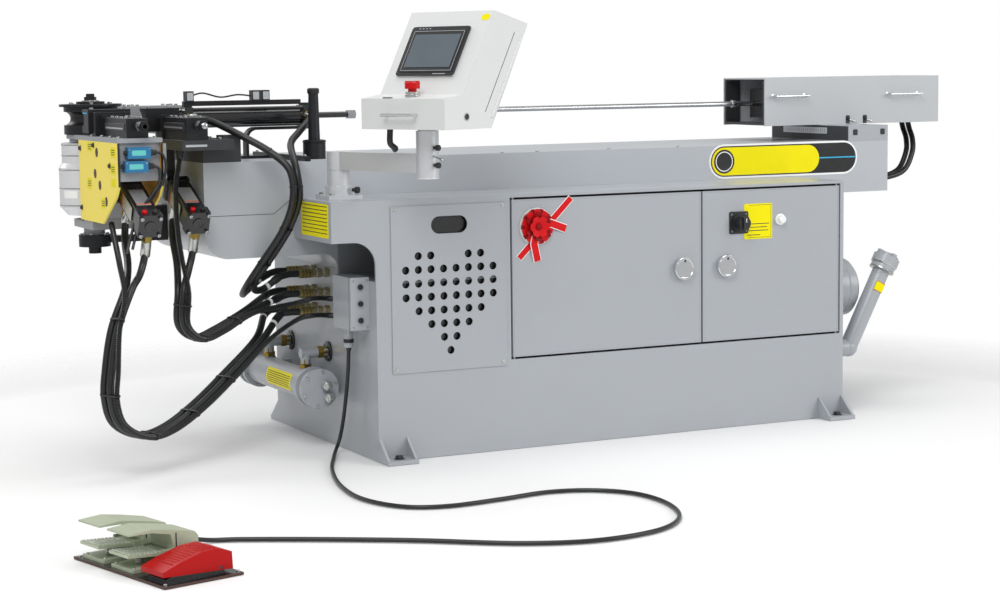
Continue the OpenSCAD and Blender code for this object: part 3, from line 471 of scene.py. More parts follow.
def tie_round(names, share, label):
    """Cable tie round the hoses of a bundle, at a share of the first one's length."""
    path = paths[names[0]]
    i = int(share * (len(path) - 1))
    at, d = path[i], tangent(path, i)
    u, v = axes_of(d)[:2]
    spots = []
    for name in names:
        near = min(paths[name], key=lambda q: abs((q - at).dot(d)) + (q - at).length * 0.3)
        if (near - at).length < 48:
            x, y = (near - at).dot(u), (near - at).dot(v)
            r = ROUTES[name][0] / 2 + 1.4
            spots += [(x + r * math.cos(k * math.pi / 8), y + r * math.sin(k * math.pi / 8)) for k in range(16)]
    rim = [spots[k] for k in convex_hull_2d(spots)]
    if sum(p[0] * q[1] - q[0] * p[1] for p, q in zip(rim, rim[1:] + rim[:1])) < 0:
        rim.reverse()
    on_hose(label, names[0], "hose_rubber", plate(rim, at - d * 2.3, u, v, 4.6))


BUNDLES = (("arm_tie", ("arm_hose_a", "arm_hose_b", "arm_conduit"), (0.2, 0.35, 0.5, 0.62, 0.74)),
           ("pressure_tie", ("pressure_hose_a", "pressure_hose_b", "pressure_conduit"), (0.3, 0.48, 0.66)),
           ("assist_tie", ("assist_hose_a", "assist_hose_b"), (0.3, 0.42, 0.54, 0.66)))
for label, names, shares in BUNDLES:
    for k, share in enumerate(shares):
        tie_round(names, share, f"{label}_{k}")

for name, obj in hoses.items():
    path, free = paths[name], name == "pedal_cord"

# Labels lie on their surfaces; all of them are left bare

X, Y, Z = Vector((1, 0, 0)), Vector((0, 1, 0)), Vector((0, 0, 1))
DOWN_Z = -Z


def on_front(x, y, z, w, h, r=3, thick=0.4):
    """Rounded sheet that faces the operator, its lower left corner at x, z."""
    return plate(rounded(w, h, r), (x, y, z), X, Z, thick)


def on_left(x, y, z, w, h, r=3, thick=0.4):
    """Rounded sheet that faces -X, from y towards the operator."""
    return plate(rounded(w, h, r), (x, y, z), -Y, Z, thick)


def hex_screw(at, d, r=5, h=4, washer=True):
    """Hexagon head with a washer below it."""
    shapes = [lathe(at, d, [(0.8, r * 0.98), (h, r), (h + 0.6, r * 0.86)], 6)]
    if washer:
        shapes.append(lathe(at, d, [(-0.3, r * 1.35), (0.8, r * 1.35)], 20))
    return shapes


def socket_screw(at, d, r=4, h=4):
    """Round head with a hexagon socket."""
    return [lathe(at, d, [(-0.5, r), (h - 0.6, r), (h, r * 0.85), (h, r * 0.5), (h - 2.2, r * 0.45)], 16)]


def group(name, body, material, shapes, **more):
    return piece(name, body, material, *shapes, **more)


# Long nameplate on the bed: white rim, yellow field, black end with a thin cyan line
BED_Y = -116
group("nameplate_rim", "machine", "sticker_white", [on_front(466, BED_Y, 722, 554, 106, 53, 0.5)])


def pill(x, z, w, h, left, right, thick, y=BED_Y):
    out = []
    for cx, a0, rounded_end in ((x + w - h / 2, -90, right), (x + h / 2, 90, left)):
        if rounded_end:
            out += [(cx + h / 2 * math.cos(math.radians(a0 + 7.5 * k)), z + h / 2 + h / 2
                     * math.sin(math.radians(a0 + 7.5 * k))) for k in range(25)]
        else:
            edge = x + w if a0 < 0 else x
            out += [(edge, z), (edge, z + h)] if a0 < 0 else [(edge, z + h), (edge, z)]
    return plate(out, (0, y, 0), X, Z, thick)


group("nameplate_black", "machine", "plate_black", [pill(472, 728, 542, 94, True, True, 0.9)])
group("nameplate_yellow", "machine", "plate_yellow", [pill(476, 732, 397, 86, True, True, 1.3)])
group("nameplate_line", "machine", "cyan_line", [on_front(874, BED_Y, 774, 138, 3.5, 1.5, 1.3)])
group("nameplate_spot", "machine", "plate_black", [lathe((520, BED_Y, 775), -Y, [(0, 37), (1.7, 37)], 40)])
group("nameplate_ring", "machine", "sticker_white",
      [lathe((520, BED_Y, 775), -Y, [(0, 31), (1.9, 31)], 40)])
group("nameplate_core", "machine", "plate_black", [lathe((520, BED_Y, 775), -Y, [(0, 28), (2.1, 28)], 40)])

# Doors: light edges, main switch, yellow plate with ruled lines, white lamp
LEAF_Y = -395
for name, body, x, x2 in (("left", "left_leaf", -355, 264), ("right", "right_leaf", 270, 752)):
    rim = []
    for a, b, c, d in ((x, 262, x2, 266), (x, 702, x2, 706), (x, 266, x + 4, 702), (x2 - 4, 266, x2, 702)):
        rim.append(box((a, LEAF_Y - 0.6, b), (c, LEAF_Y, d)))
    group(name + "_door_rim", body, "body_paint", rim)
group("switch_plate", "right_leaf", "black_plastic", [on_front(361, LEAF_Y, 576, 66, 66, 5, 3)], bevel=0.8)
group("switch_screws", "right_leaf", "zinc",
      [s for i in (369, 419) for k in (584, 634) for s in socket_screw((i, LEAF_Y - 3, k), -Y, 2.6, 1.2)])
group("voltage_plate", "right_leaf", "sticker_yellow", [on_front(413, LEAF_Y, 558, 99, 105, 6, 0.6)])
group("voltage_lines", "right_leaf", "ink",
      [on_front(424, LEAF_Y - 0.6, z, w, 2.2, 1, 0.2) for z, w in ((602, 77), (592, 70), (582, 74), (569, 46))])
group("voltage_rim", "right_leaf", "ink", [box((430, LEAF_Y - 0.8, z), (508, LEAF_Y - 0.5, z + 1)) for z in (562, 658)]
      + [box((507, LEAF_Y - 0.8, 562), (508, LEAF_Y - 0.5, 659))])
group("power_lamp", "right_leaf", "clear_white",
      [lathe((539, LEAF_Y, 613), -Y, [(0, 17), (5, 17), (7, 14), (7, 12), (18, 12), (21, 9)], 32)])
for name, body, x in (("left", "left_handle", 200), ("right", "right_handle", 347)):
    group(name + "_knob_rim", body, "chrome_knob",
          [lathe((x, -411, 484), -Y, [(-6, 32), (-3, 33.2), (0.5, 33.2), (2.5, 31.5), (2.5, 27), (1.5, 26), (1.5, 3)], 48)])
    group(name + "_knob_key", body, "dark_iron", [on_front(x - 3, -412.4, 503, 6, 10, 1, 0.5)])
group("main_handle_mark", "main_handle", "sticker_silver", [on_front(392, -439, 612, 4, 12, 1, 0.4)])

# Screws at the corners of the pierced cover; a black sheet behind its slot is painted shade
group("cover_screws", "machine", "zinc",
      [s for x in (-714, -387) for z in (252, 693) for s in hex_screw((x, -398, z), -Y, 4.4, 3)])
group("cover_backing", "machine", "black_paint", [box((-705, -385.5, 259), (-395, -384, 683))])

# Red gift ribbon and bow on the left door; a darker red copy on the lower loops and the knot is painted shade
def ribbon(points, half, thick=1.2):
    """Flat band along points given in x and z on the door."""
    mid = [Vector((x, LEAF_Y - lift, z)) for x, z, lift in points]
    outline = []
    halves = half if isinstance(half, list) else [half] * len(points)
    for i, q in enumerate(mid):
        d = mid[min(i + 1, len(mid) - 1)] - mid[max(i - 1, 0)]
        d.y = 0
        d = d.normalized() if d.length > 2 else last
        d = -d if i > len(mid) / 2 and d.dot(last) < 0 else d
        last = d
        side = Vector((-d.z, 0, d.x)) * halves[i]
        outline.append((q + side, q - side))
    pts, faces = [], []
    for a, b in outline:
        pts += [a, b, b - Y * thick, a - Y * thick]
    n = len(outline)
    for i in range(n - 1):
        for k in range(4):
            faces.append((4 * i + k, 4 * i + (k + 1) % 4, 4 * i + 4 + (k + 1) % 4, 4 * i + 4 + k))
    return pts, faces + [(3, 2, 1, 0), tuple(4 * n - 4 + k for k in range(4))]


BOW_X, BOW_Z = -278, 628


def petal(angle, reach, wide, lift, tilt):
    """Loop of the bow: a long drop that leans away from the door."""
    c, s = math.cos(math.radians(angle)), math.sin(math.radians(angle))
    t = math.radians(tilt)
    along = Vector((c * math.cos(t), -math.sin(t), s * math.cos(t)))
    across = Vector((-s, 0, c))
    rim = [(reach * k / 8, -wide * (0.3 + 0.7 * math.sin(math.pi * (k / 8) ** 0.8 * 0.9))) for k in range(9)]
    rim += [(x, -y) for x, y in reversed(rim)]
    corner = Vector((BOW_X, LEAF_Y - lift, BOW_Z))
    return plate(rim, corner, along, across, 1.6)


def tails(half, grow, lift):
    """The ribbon's straight run across the corner and the two loose ends."""
    return [ribbon([(-334 - grow, 541 - grow, lift), (-262, 612, lift), (-168 + grow, 704 + grow, lift)], half),
            ribbon([(BOW_X, BOW_Z, lift + 5), (-236, 636, lift + 8), (-186 + grow, 618, lift + 1)], half + 2),
            ribbon([(BOW_X, BOW_Z, lift + 5), (-290, 580, lift + 8), (-276, 530 - grow, lift + 1)], half + 2)]


group("gift_ribbon_edge", "left_leaf", "sticker_white", tails(10.5, 1, 0.2) + [
    lathe((BOW_X, LEAF_Y - 0.4, BOW_Z), -Y, [(0, 53), (1, 53)], 40)])
group("gift_ribbon", "left_leaf", "ribbon_red", tails(8, 0, 1.6) + [
    petal(36 * k + 18, 50, 13, 3, 5) for k in range(10)] + [petal(60 * k, 34, 14, 9, 26) for k in range(6)])
# Lower loops and knot in the darker red: painted shade between the loops
group("gift_ribbon_folds", "left_leaf", "ribbon_dark", [petal(36 * k, 51, 11, 2, 3) for k in range(10)] + [
    petal(60 * k + 30, 42, 13, 6, 14) for k in range(6)] + [
    lathe((BOW_X, LEAF_Y, BOW_Z), -Y, [(0, 9), (18, 9), (22, 5), (23, 1)], 16)])

# Yellow label with ruled lines on the wing's end
group("wing_label", "machine", "sticker_yellow", [on_left(-898, -176, 621, 200, 92, 4)])
group("wing_label_lines", "machine", "ink",
      [on_left(-898.4, -184, 632 + 10.4 * i, 184, 2.2, 1, 0.2) for i in range(8)])

# Water cooler: band label, hub screws, brass fittings
COOL_X, COOL_Y, COOL_Z = -842, -145, 177


def wrap(radius, y, w, a0, a1, thick=0.6, steps=14):
    """Sheet wrapped round the cooler between two angles."""
    pts = []
    for k in range(steps + 1):
        a = math.radians(a0 + (a1 - a0) * k / steps)
        for r in (radius, radius + thick):
            for yy in (y, y + w):
                pts.append(Vector((COOL_X + r * math.cos(a), yy, COOL_Z + r * math.sin(a))))
    faces = []
    for k in range(steps):
        o = 4 * k
        faces += [(o, o + 4, o + 5, o + 1), (o + 2, o + 3, o + 7, o + 6), (o, o + 2, o + 6, o + 4), (o + 1, o + 5, o + 7, o + 3)]
    e = 4 * steps
    return pts, faces + [(0, 1, 3, 2), (e, e + 2, e + 3, e + 1)]


group("cooler_label", "machine", "plate_yellow", [wrap(44.1, -22, 196, 140, 205)])
group("cooler_label_lines", "machine", "ink", [wrap(44.8, -14, 180, 152 + 8 * i, 154.5 + 8 * i, 0.2) for i in range(6)])
bolts = []
for y in (COOL_Y, 395 - 60):
    for k in range(6):
        a = math.radians(60 * k + 20)
        bolts += hex_screw((COOL_X + 50 * math.cos(a), y, COOL_Z + 50 * math.sin(a)), -Y, 4.6, 5, False)
group("cooler_bolts", "machine", "zinc", bolts)
group("cooler_ports", "machine", "zinc",
      [lathe((COOL_X + dx, COOL_Y - 26, COOL_Z + dz), -Y, [(0, 14), (3, 14), (4, 9), (9, 9), (10, 5)], 24)
       for dx, dz in ((14, 12), (20, -24))])
group("cooler_unions", "machine", "olive_zinc",
      [lathe((COOL_X, y, COOL_Z + 46), Z, [(0, 19), (12, 19), (14, 16), (26, 16)], 6) for y in (-35, 265)]
      + [lathe((-796, y, COOL_Z + 90), X, [(-10, 19), (6, 19), (7, 17), (18, 17)], 6) for y in (-35, 265)])
group("cooler_flanges", "machine", "black_paint",
      [lathe((-770, y, COOL_Z + 90), -X, [(-0.2, 30), (5, 30), (7, 27)], 32) for y in (-35, 265)])

# Hose fittings: adapters and dark collars on the end wall
adapters, rings = [], []
for z in PORT_Z:
    for y in PORT_Y:
        adapters.append(lathe((-770, y, z), -X, [(14, 11.5), (22, 11.5)], 24))
        adapters.append(lathe((-770, y, z), -X, [(36.2, 14.6), (39.8, 14.6)], 6))
        rings += [lathe((-770, y, z), -X, [(s, 13.3), (s + 3, 13.8), (s + 6, 13.3)], 24) for s in (58, 68, 78)]
group("port_adapters", "machine", "zinc", adapters)
group("port_rings", "machine", "olive_zinc", rings)

# Junction box: lid joint, screws, nipple
group("box_lid_line", "machine", "ink", [box((-825.4, -333, 361.6), (-769.6, -331.8, 508.4))])
group("box_plugs", "machine", "black_plastic",
      [lathe((-798, -349, z), -Y, [(0, 8), (2, 8), (3, 5)], 24) for z in (390, 436, 482)])
group("box_screws", "machine", "zinc",
      [s for x in (-818, -777) for z in (370, 500) for s in socket_screw((x, -345, z), -Y, 3, 1.6)])
group("box_nipple", "machine", "zinc", [lathe((-798, -258, 362), DOWN_Z, [(0, 15), (6, 15), (7, 13.6), (30, 13.6)], 6)])
group("cord_gland", "machine", "black_plastic",
      [lathe((-798, -258, 330), DOWN_Z, [(0, 14.5), (10, 14.5), (12, 11), (26, 8), (34, 6.2)], 20)])

# Control panel: everything in its turned frame, X to the face's right, -Y to the operator

PANEL = Matrix.Translation((-700.3, -593.9, 0)) @ Matrix.Rotation(math.radians(-66), 4, "Z")
FACE = PANEL @ Matrix.Translation((0, -21, 1008)) @ Matrix.Rotation(math.radians(-31), 4, "X")


def placed(matrix, shape):
    points, faces = shape
    return [matrix @ p for p in points], faces


def in_frame(matrix, shapes):
    return [placed(matrix, s) for s in shapes]


group("screen_bezel", "panel", "black_plastic", in_frame(FACE, [
    plate(rounded(204, 150, 9), (-111, -5, 52), X, Z, 3), plate(rounded(184, 130, 4), (-101, -8, 62), X, Z, 1.4)]),
    bevel=1)
group("screen_rim", "panel", "sticker_silver", in_frame(FACE, [
    box((-97, -9.8, 66), (79, -9.2, 67.2)), box((-97, -9.8, 186), (79, -9.2, 187.2)),
    box((-97, -9.8, 66), (-95.8, -9.2, 187)), box((77.8, -9.8, 66), (79, -9.2, 187))]))
group("screen_glass", "panel", "screen_glass", in_frame(FACE, [plate(rounded(160, 100, 2), (-89, -9.2, 76), X, Z, 1.2)]))
group("screen_keys", "panel", "sticker_silver",
      in_frame(FACE, [box((-86 + 12 * i, -8.6, 194), (-80 + 12 * i, -8.2, 196)) for i in range(4)]
               + [box((20, -8.6, 56), (64, -8.2, 58))]))
group("box_seam", "panel", "ink", in_frame(FACE, [box((144.8, 98, 4), (145.4, 99.6, 246)),
                                                      box((-145.4, 98, 4), (-144.8, 99.6, 246))]))
group("box_flange", "panel", "white_paint", in_frame(FACE, [box((-149, 124, 4), (149, 133, 250))]), bevel=1.5)
group("ledge_handle", "panel", "chrome_bar", in_frame(PANEL, [
    rod((-56, -118, 956), (56, -118, 956), 4.5), rod((-50, -96, 956), (-50, -118, 956), 4),
    rod((50, -96, 956), (50, -118, 956), 4)]))
# The dark slot on the ledge and the dark disc in the side hole are painted shade
group("ledge_slot", "panel", "ink", in_frame(PANEL, [box((-72, -92, 999.2), (-44, -84, 1001.4))]))
group("side_hole_rim", "panel", "zinc", in_frame(PANEL, [lathe((145, -10, 950), X, [(0, 10), (1.6, 10), (1.7, 8)], 32)]))
group("side_hole", "panel", "ink", in_frame(PANEL, [lathe((145, -10, 950), X, [(0, 7.6), (2, 7.6)], 32)]))
group("face_sticker", "panel", "sticker_yellow", in_frame(FACE, [
    placed(Matrix.Translation((124, 0, 232)) @ Matrix.Scale(1.5, 4, (1, 0, 0)), lathe((0, 0, 0), -Y, [(0, 10), (0.5, 10)], 40))]))
group("rear_gland", "panel", "black_plastic", in_frame(PANEL, [
    lathe((96, 118, 946), Y, [(0, 12), (8, 12), (9, 10), (30, 10), (32, 7)], 24)]))
group("clamp_knobs", "swing_arm", "black_plastic", [
    s for z in (822, 868) for s in in_frame(PANEL, [lathe((30, -6, z), X, [(-2, 4), (8, 4), (8, 8), (16, 8), (18, 6)], 20)])])
group("clamp_lever", "swing_arm", "bright_steel", in_frame(PANEL, [
    rod((28, -8, 846), (74, -26, 838), 2.6), lathe((73, -25.6, 838.2), Vector((46, -18, -8)), [(-4, 2.6), (0, 5), (5, 5), (8, 2)], 20)]))
group("sleeve_rings", "swing_arm", "turned_steel", [
    lathe((-700.3, -593.9, 786), Z, [(-0.4, 28), (0, 30.3), (3, 30.3)], 48),
    lathe((-700.3, -593.9, 909), Z, [(0, 30.3), (3.3, 29.5)], 48)])
group("stop_fingers", "stop_head", "red_plastic", in_frame(PANEL, [
    lathe((4, -60, 1034), Z, [(0, 19), (1.4, 20.6), (4, 20.6), (7, 17.5), (8, 8)], 36)]
    + [placed(Matrix.Translation((4, -60, 0)) @ Matrix.Rotation(math.radians(60 * k), 4, "Z"),
              box((12, -3, 1038), (19.5, 3, 1043.2))) for k in range(6)]))
group("stop_collar", "panel", "zinc", in_frame(PANEL, [lathe((4, -60, 1003), Z, [(0, 20), (5, 20), (6, 18.4), (12, 18.4)], 32)]))
panel_cable = smooth([tuple(PANEL @ Vector(q)) for q in ((-95, -40, 919), (-96, -40, 880), (-98, -20, 862))]
                     + [(-772, -413, 852)], 8)
group("panel_cable", "swing_arm", "hose_rubber", [sweep(panel_cable[:17], 8, 16)])
group("post_screws", "machine", "zinc",
      [s for dx in (-38, 38) for dy in (-38, 38) for s in hex_screw((-820 + dx, -265 + dy, 732), Z, 6, 6)])
group("post_knob", "machine", "black_plastic", [lathe((-796, -303, 746), Vector((0.6, -0.8, 0)), [(0, 5), (10, 5), (10, 9), (20, 9)], 20)])

# Bed: seam groove, top cover screws; pedestal: dark face with scale, cover toggles
group("bed_seam", "machine", "ink", [box((-1147, BED_Y - 0.5, 675.4), (-957, BED_Y, 676.6)),
                                     rod((-957, BED_Y, 676), (-898, BED_Y, 721), 0.7, 8)])
group("bed_screws", "machine", "zinc",
      [s for x in (-700, -620, -238, -123, 120, 360, 640) for s in socket_screw((x, BED_Y + 12, 824), Z, 5, 4)])
group("pedestal_scale_face", "machine", "dark_iron", [on_left(985.9, 318, 826, 432, 46, 2, 0.8)])
group("pedestal_scale", "machine", "sticker_silver", [on_left(985.1, 250, 846, 250, 20, 2, 0.6)])
group("scale_marks", "machine", "ink", [box((984.2, 12 + 12 * i, 850), (984.6, 13.2 + 12 * i, 861)) for i in range(19)])
toggles = []
for x in (1098, 1166):
    toggles.append(on_front(x - 7, 46, 876, 14, 26, 3, 2))
    toggles.append(lathe((x, 46, 892), -Y, [(0, 5), (7, 5), (8, 3)], 16))
for x in (1012, 1118):
    toggles.append(on_front(x - 8, BED_Y, 844, 16, 18, 3, 2))
group("toggle_plates", "machine", "black_plastic", toggles)
group("toggle_links", "machine", "zinc", [rod((x, 42, 890), (x + 26, 40, 882), 2.2, 12) for x in (1098, 1166)])
group("handle_feet", "machine", "chrome_bar",
      [lathe((x + dx, y, 969), d, [(0, 6.5), (1.5, 6.5), (2, 4)], 20) for x in (866, 1316) for dx in (-60, 60)
       for y, d in ((46, -Y), (292, Y))])
group("cover_channel", "machine", "dark_iron", [box((777, 52, 876), (832, 60, 1018)), box((777, 278, 876), (832, 286, 1018)),
                                                box((777, 60, 876), (832, 278, 884))])

# Filler pipe: flange ring, cap lugs, small label; motor cowl rings
LEAN = Matrix.Translation((875, -275, 190)) @ Matrix.Rotation(math.radians(28), 4, "Y")
group("filler_rings", "machine", "zinc", in_frame(LEAN, [
    lathe((0, 0, 262), Z, [(0, 27.4), (4, 40), (8, 40)], 40), lathe((0, 0, 282), Z, [(0, 39), (5, 42.6), (9, 39)], 40)]))
group("filler_screws", "machine", "zinc", [s for k in range(4) for s in in_frame(LEAN, hex_screw(
    (33 * math.cos(math.pi * k / 2 + 0.4), 33 * math.sin(math.pi * k / 2 + 0.4), 312), Z, 4, 4, False))])
group("filler_label", "machine", "sticker_yellow", in_frame(LEAN, [box((-16, -27.8, 196), (16, -24.6, 226))]))
group("filler_label_rim", "machine", "sticker_orange", in_frame(LEAN, [
    box((-16, -28.1, z), (16, -27.7, z + 2)) for z in (196, 224)]))
group("cowl_rings", "machine", "body_paint", [
    lathe((770, -175, 370), X, [(s, 90), (s + 3, 91.6), (s + 6, 90)], 64) for s in (40, 80, 120)])

# Floor bolts on the feet
group("floor_bolts", "machine", "dark_iron",
      [s for sx in (-1, 1) for y in (-430, 430) for s in hex_screw((sx * 725, y, 12), Z, 12, 9)])

# Bend head: arm plates, cylinders, switches, slides and dies

CX, PX, SY = -1368, -1203, 245
group("arm_plate_edges", "arm", "black_paint",
      [box((x, -225.6, 772), (x + 6, -225, 888)) for x in (-1430, -1312)])
group("arm_inner_faces", "arm", "amber_paint",
      [plate([(0, 0), (0, 116), (-382, 116), (-382, -106), (-160, -106), (-28, -30)][::-1],
             (-1312.1, -225, 772), -Y, Z, 0.2)])
# Dark brown discs in the arm's holes: painted shade
holes = [lathe((-1430, y, z), -X, [(-1, 13), (0.4, 13)], 32) for y, z in ((-25, 858), (-4, 800), (-48, 770), (-105, 728))]
group("arm_hole_shade", "arm", "brown_edge", holes)
group("arm_screws", "arm", "dark_iron",
      [s for y, z in ((140, 865), (140, 700), (-150, 826), (5, 877)) for s in hex_screw((-1430, y, z), -X, 6, 5)])
group("arm_labels", "arm", "sticker_yellow",
      [on_left(-1430, y + w / 2, z - h / 2, w, h, 3, 0.5)
       for y, z, w, h in ((44, 872, 40, 26), (54, 771, 44, 30), (-77, 722, 40, 26), (-183, 863, 44, 26),
                          (-180, 818, 44, 26), (-180, 782, 44, 22))])
group("arm_label_lines", "arm", "ink",
      [on_left(-1430.5, y + 16, z + dz, 32, 2, 0.8, 0.2)
       for y, z in ((44, 871), (54, 770), (-77, 721), (-183, 862), (-180, 817)) for dz in (-6, 0, 6)])
group("arm_top_screws", "arm", "zinc",
      [s for dx in (-50, 50) for y in (-195, -120, -40, 60) for s in socket_screw((CX + dx, y, 900), Z, 5, 5)])
group("arm_gray_side", "arm", "gray_iron", [box((-1306, -205, 790), (-1303, -120, 884)), box((-1303.4, -205, 790), (-1290, -196, 884))],
      bevel=0.8)

# Turned housing: grooves, bolts, badge left plain
group("housing_rings", "machine", "bright_steel",
      [lathe((CX, SY, z), Z, [(-0.5, r - 2), (0, r + 1), (3, r + 1), (3.5, r - 2)], 64)
       for z, r in ((700, 94), (748, 94), (800, 94), (840, 85), (870, 85))])
group("housing_badge", "machine", "sticker_white",
      [placed(Matrix.Translation((CX, SY, 0)) @ Matrix.Rotation(math.radians(200 + 6 * k), 4, "Z"),
              box((94, -5.2, 722), (95, 5.2, 744))) for k in range(5)])
group("bearing_bolts", "machine", "zinc",
      [s for k in range(6) for s in hex_screw((CX + 38 * math.cos(math.pi * k / 3), SY + 38 * math.sin(math.pi * k / 3), 614), Z, 5, 4, False)])

# Bend die: disc screws and hub
group("die_screws", "arm", "bright_steel",
      [s for k in range(6) for s in socket_screw((CX + 62 * math.cos(math.pi * k / 3 + 0.3), SY + 62 * math.sin(math.pi * k / 3 + 0.3), 985), Z, 5, 5)])
group("die_washer", "arm", "zinc", [lathe((CX, SY, 992), Z, [(0, 25), (3, 25)], 32)])
group("die_hub", "arm", "black_steel", [lathe((CX, SY, 1005), Z, [(0, 12), (8, 12), (9, 10)], 24)])

# Square cylinders
TILT = Matrix.Rotation(math.radians(25), 4, "X")
for name, body, at in (("clamp", "arm", (CX, -100, 761)), ("pressure", "machine", (PX, 0, 756))):
    M = Matrix.Translation(at) @ TILT
    group(name + "_cylinder_bolts", body, "bright_steel",
          [s for x in (-25, 25) for z in (-25, 25) for s in in_frame(M, socket_screw((x, -219, z), -Y, 5, 5))])
    group(name + "_cylinder_face", body, "black_paint", in_frame(M, [lathe((0, -215, 0), -Y, [(0, 15), (3, 15), (4, 12)], 32)]))
    group(name + "_cylinder_label", body, "sticker_silver",
          in_frame(M, [plate(rounded(88, 40, 2), (-32, -60, -20), -Y, Z, 0.6)])
          + in_frame(M, [plate(rounded(40, 88, 2), (-20, -150, 29), X, Y, 0.6)]))
    group(name + "_cylinder_stripe", body, "sticker_orange",
          in_frame(M, [plate(rounded(5, 40, 1), (-32.6, -62, -20), -Y, Z, 0.3), plate(rounded(40, 5, 1), (-20, -146, 29.6), X, Y, 0.3)]))
    group(name + "_cylinder_plugs", body, "red_plastic", in_frame(M, [lathe((-14, -198, 32), Z, [(0, 7), (6, 7), (8, 5)], 20)]))
    group(name + "_cylinder_caps", body, "black_plastic", in_frame(M, [lathe((14, -198, 32), Z, [(0, 7), (6, 7), (8, 5)], 20)]))
    group(name + "_port_nuts", body, "zinc",
          in_frame(M, [lathe((0, y, -32), -Z, [(0, 13.5), (8, 13.5), (9, 11.5), (12, 11.5)], 6) for y in (-198, -11)]))

# Switches on the arm: teal labels, cable glands, plug
group("switch_labels", "arm", "teal_label",
      [on_front(CX + dx - 20, -243, z - 7, 38, 14, 2, 0.5) for dx, z in ((-8, 862), (-16, 826))])
group("switch_rims", "arm", "zinc",
      [s for dx, z in ((-8, 862), (-16, 826)) for x in (-26, 28) for s in socket_screw((CX + dx + x, -243, z + 9), -Y, 2.2, 1.2)])
group("switch_glands", "arm", "black_plastic",
      [lathe((CX + dx + 32, -228, z), X, [(0, 9), (8, 9), (9, 7), (18, 7), (20, 4)], 20) for dx, z in ((-8, 862), (-16, 826))]
      + [lathe((CX + dx - 30, -228, z), -X, [(0, 7), (6, 7), (8, 5)], 20) for dx, z in ((-8, 862), (-16, 826))])
wire = smooth([(CX + 44, -228, 862), (CX + 58, -232, 856), (CX + 66, -236, 830), (CX + 58, -238, 790), (CX + 34, -236, 750),
               (CX + 6, -232, 716), (CX - 16, -240, 670), (CX - 40, -262, 610)], 8)
wire2 = smooth([(CX + 36, -228, 826), (CX + 48, -234, 816), (CX + 44, -240, 780), (CX + 16, -240, 740), (CX - 16, -236, 700),
                (CX - 36, -244, 650), (CX - 56, -262, 600)], 8)
group("switch_wires", "arm", "hose_rubber", [sweep(wire, 4, 10), sweep(wire2, 4, 10)])
group("arm_plug", "arm", "black_plastic", [lathe((-1296, -150, 806), Z, [(0, 9), (20, 9), (22, 12), (36, 12), (38, 7)], 20)])


def slide_details(name, body, x, y, z):
    """Screws, nut, scale and pads of one die slide."""
    group(name + "_slide_screws", body, "bright_steel",
          [s for dx in (-20, 20) for dy in (34, 76, 118, 160) for s in socket_screw((x + dx, y + dy, z), Z, 5, 5)])
    group(name + "_screw_nut", body, "zinc", [lathe((x, y - 22, 932 if x < -1300 else 930), Y, [(-8, 13), (6, 13)], 6)])
    group(name + "_screw_tip", body, "bright_steel", [lathe((x, y - 70, 932 if x < -1300 else 930), Y, [(0, 6), (2, 8.6), (12, 8.8)], 20)])
    group(name + "_slide_sides", body, "dark_iron",
          [box((x - 31.5, y + 14, z - 34), (x - 29.5, y + 200, z - 14)), box((x + 29.5, y + 14, z - 34), (x + 31.5, y + 200, z - 14))],
          bevel=0.5)
    group(name + "_slide_line", body, "sticker_silver", [on_left(x - 31.5, y + 190, z - 29, 160, 4, 1, 0.4)])


slide_details("clamp", "clamp_carriage", CX, -205, 952)
slide_details("pressure", "pressure_carriage", PX, -206, 950)
group("clamp_die_line", "clamp_carriage", "cyan_line", [on_left(-1428, 110, 961, 44, 3, 1, 0.5)])
group("clamp_die_screws", "clamp_carriage", "bright_steel",
      [s for x in (-1410, -1326) for s in socket_screw((x, 86, 972.5), Z, 5.5, 5)])
group("pressure_die_screws", "pressure_carriage", "bright_steel",
      [s for x in (-1245, -1185) for s in socket_screw((x, 90, 972.5), Z, 5.5, 5)])
group("base_screws", "machine", "zinc",
      [s for y in (-150, -60, 30) for s in socket_screw((-1120, y, 890), Z, 5.5, 5)])
group("base_line", "machine", "sticker_silver", [on_front(-1236, -206, 872, 60, 6, 1, 0.5)])
group("pressure_gland", "machine", "black_plastic", [lathe((-1236, -150, 862), -Z, [(-0.2, 12), (8, 12), (10, 9.6), (22, 9.6)], 20)])

# Wiper bracket window, screws; assist cylinder fittings, rail sensors, wires
group("wiper_window", "machine", "sticker_white", [on_left(-1270, 300, 912, 50, 44, 3, 0.5)])
group("wiper_screws", "machine", "zinc",
      [s for x in (-1255, -1230, -1140, -1115) for y in (250, 296) for s in socket_screw((x, y, 976), Z, 5, 5)])
group("assist_unions", "machine", "olive_zinc",
      [lathe((x, 45, 943), -Y, [(-14.5, 15), (-0.2, 15)], 6) for x in (-1142, -788)])
group("assist_end_bolts", "machine", "zinc",
      [s for x, d in ((-1154, -X), (-776, X)) for y in (54, 96) for z in (922, 964) for s in hex_screw((x, y, z), d, 6, 6)])
group("assist_clevis", "machine", "bright_steel", [lathe((-630, 75, 943), X, [(-24, 14), (0, 14), (1, 12)], 6)])
group("sensor_faces", "machine", "sticker_silver", [on_front(x + 2, 61, 992, 18, 22, 2, 0.5) for x in (-1144, -948, -918)])
sensor_wire = smooth([(-1122, 75, 1006), (-1090, 75, 1012), (-1040, 72, 1000), (-990, 70, 1006), (-950, 66, 1002)], 8)
group("sensor_wire", "machine", "hose_rubber", [sweep(sensor_wire, 2.4, 10)])
group("post_cap", "machine", "black_plastic", [lathe((-818, -80, 1006), Z, [(0, 14.6), (4, 17), (14, 17), (17, 13)], 32)])
group("post_ring", "machine", "black_steel", [lathe((-818, -80, 868), Z, [(0, 31), (3, 33), (8, 33), (10, 26)], 40)])
group("cross_bar_screws", "machine", "zinc",
      [s for y in (-200, 30, 120, 185) for s in hex_screw((-893, y, 838), Z, 4.6, 4)])
group("rod_collars", "mandrel", "bright_steel", [lathe((x, 169, 945), X, [(0, 11), (1, 12), (13, 12), (14, 11)], 32) for x in (-395, 728)])

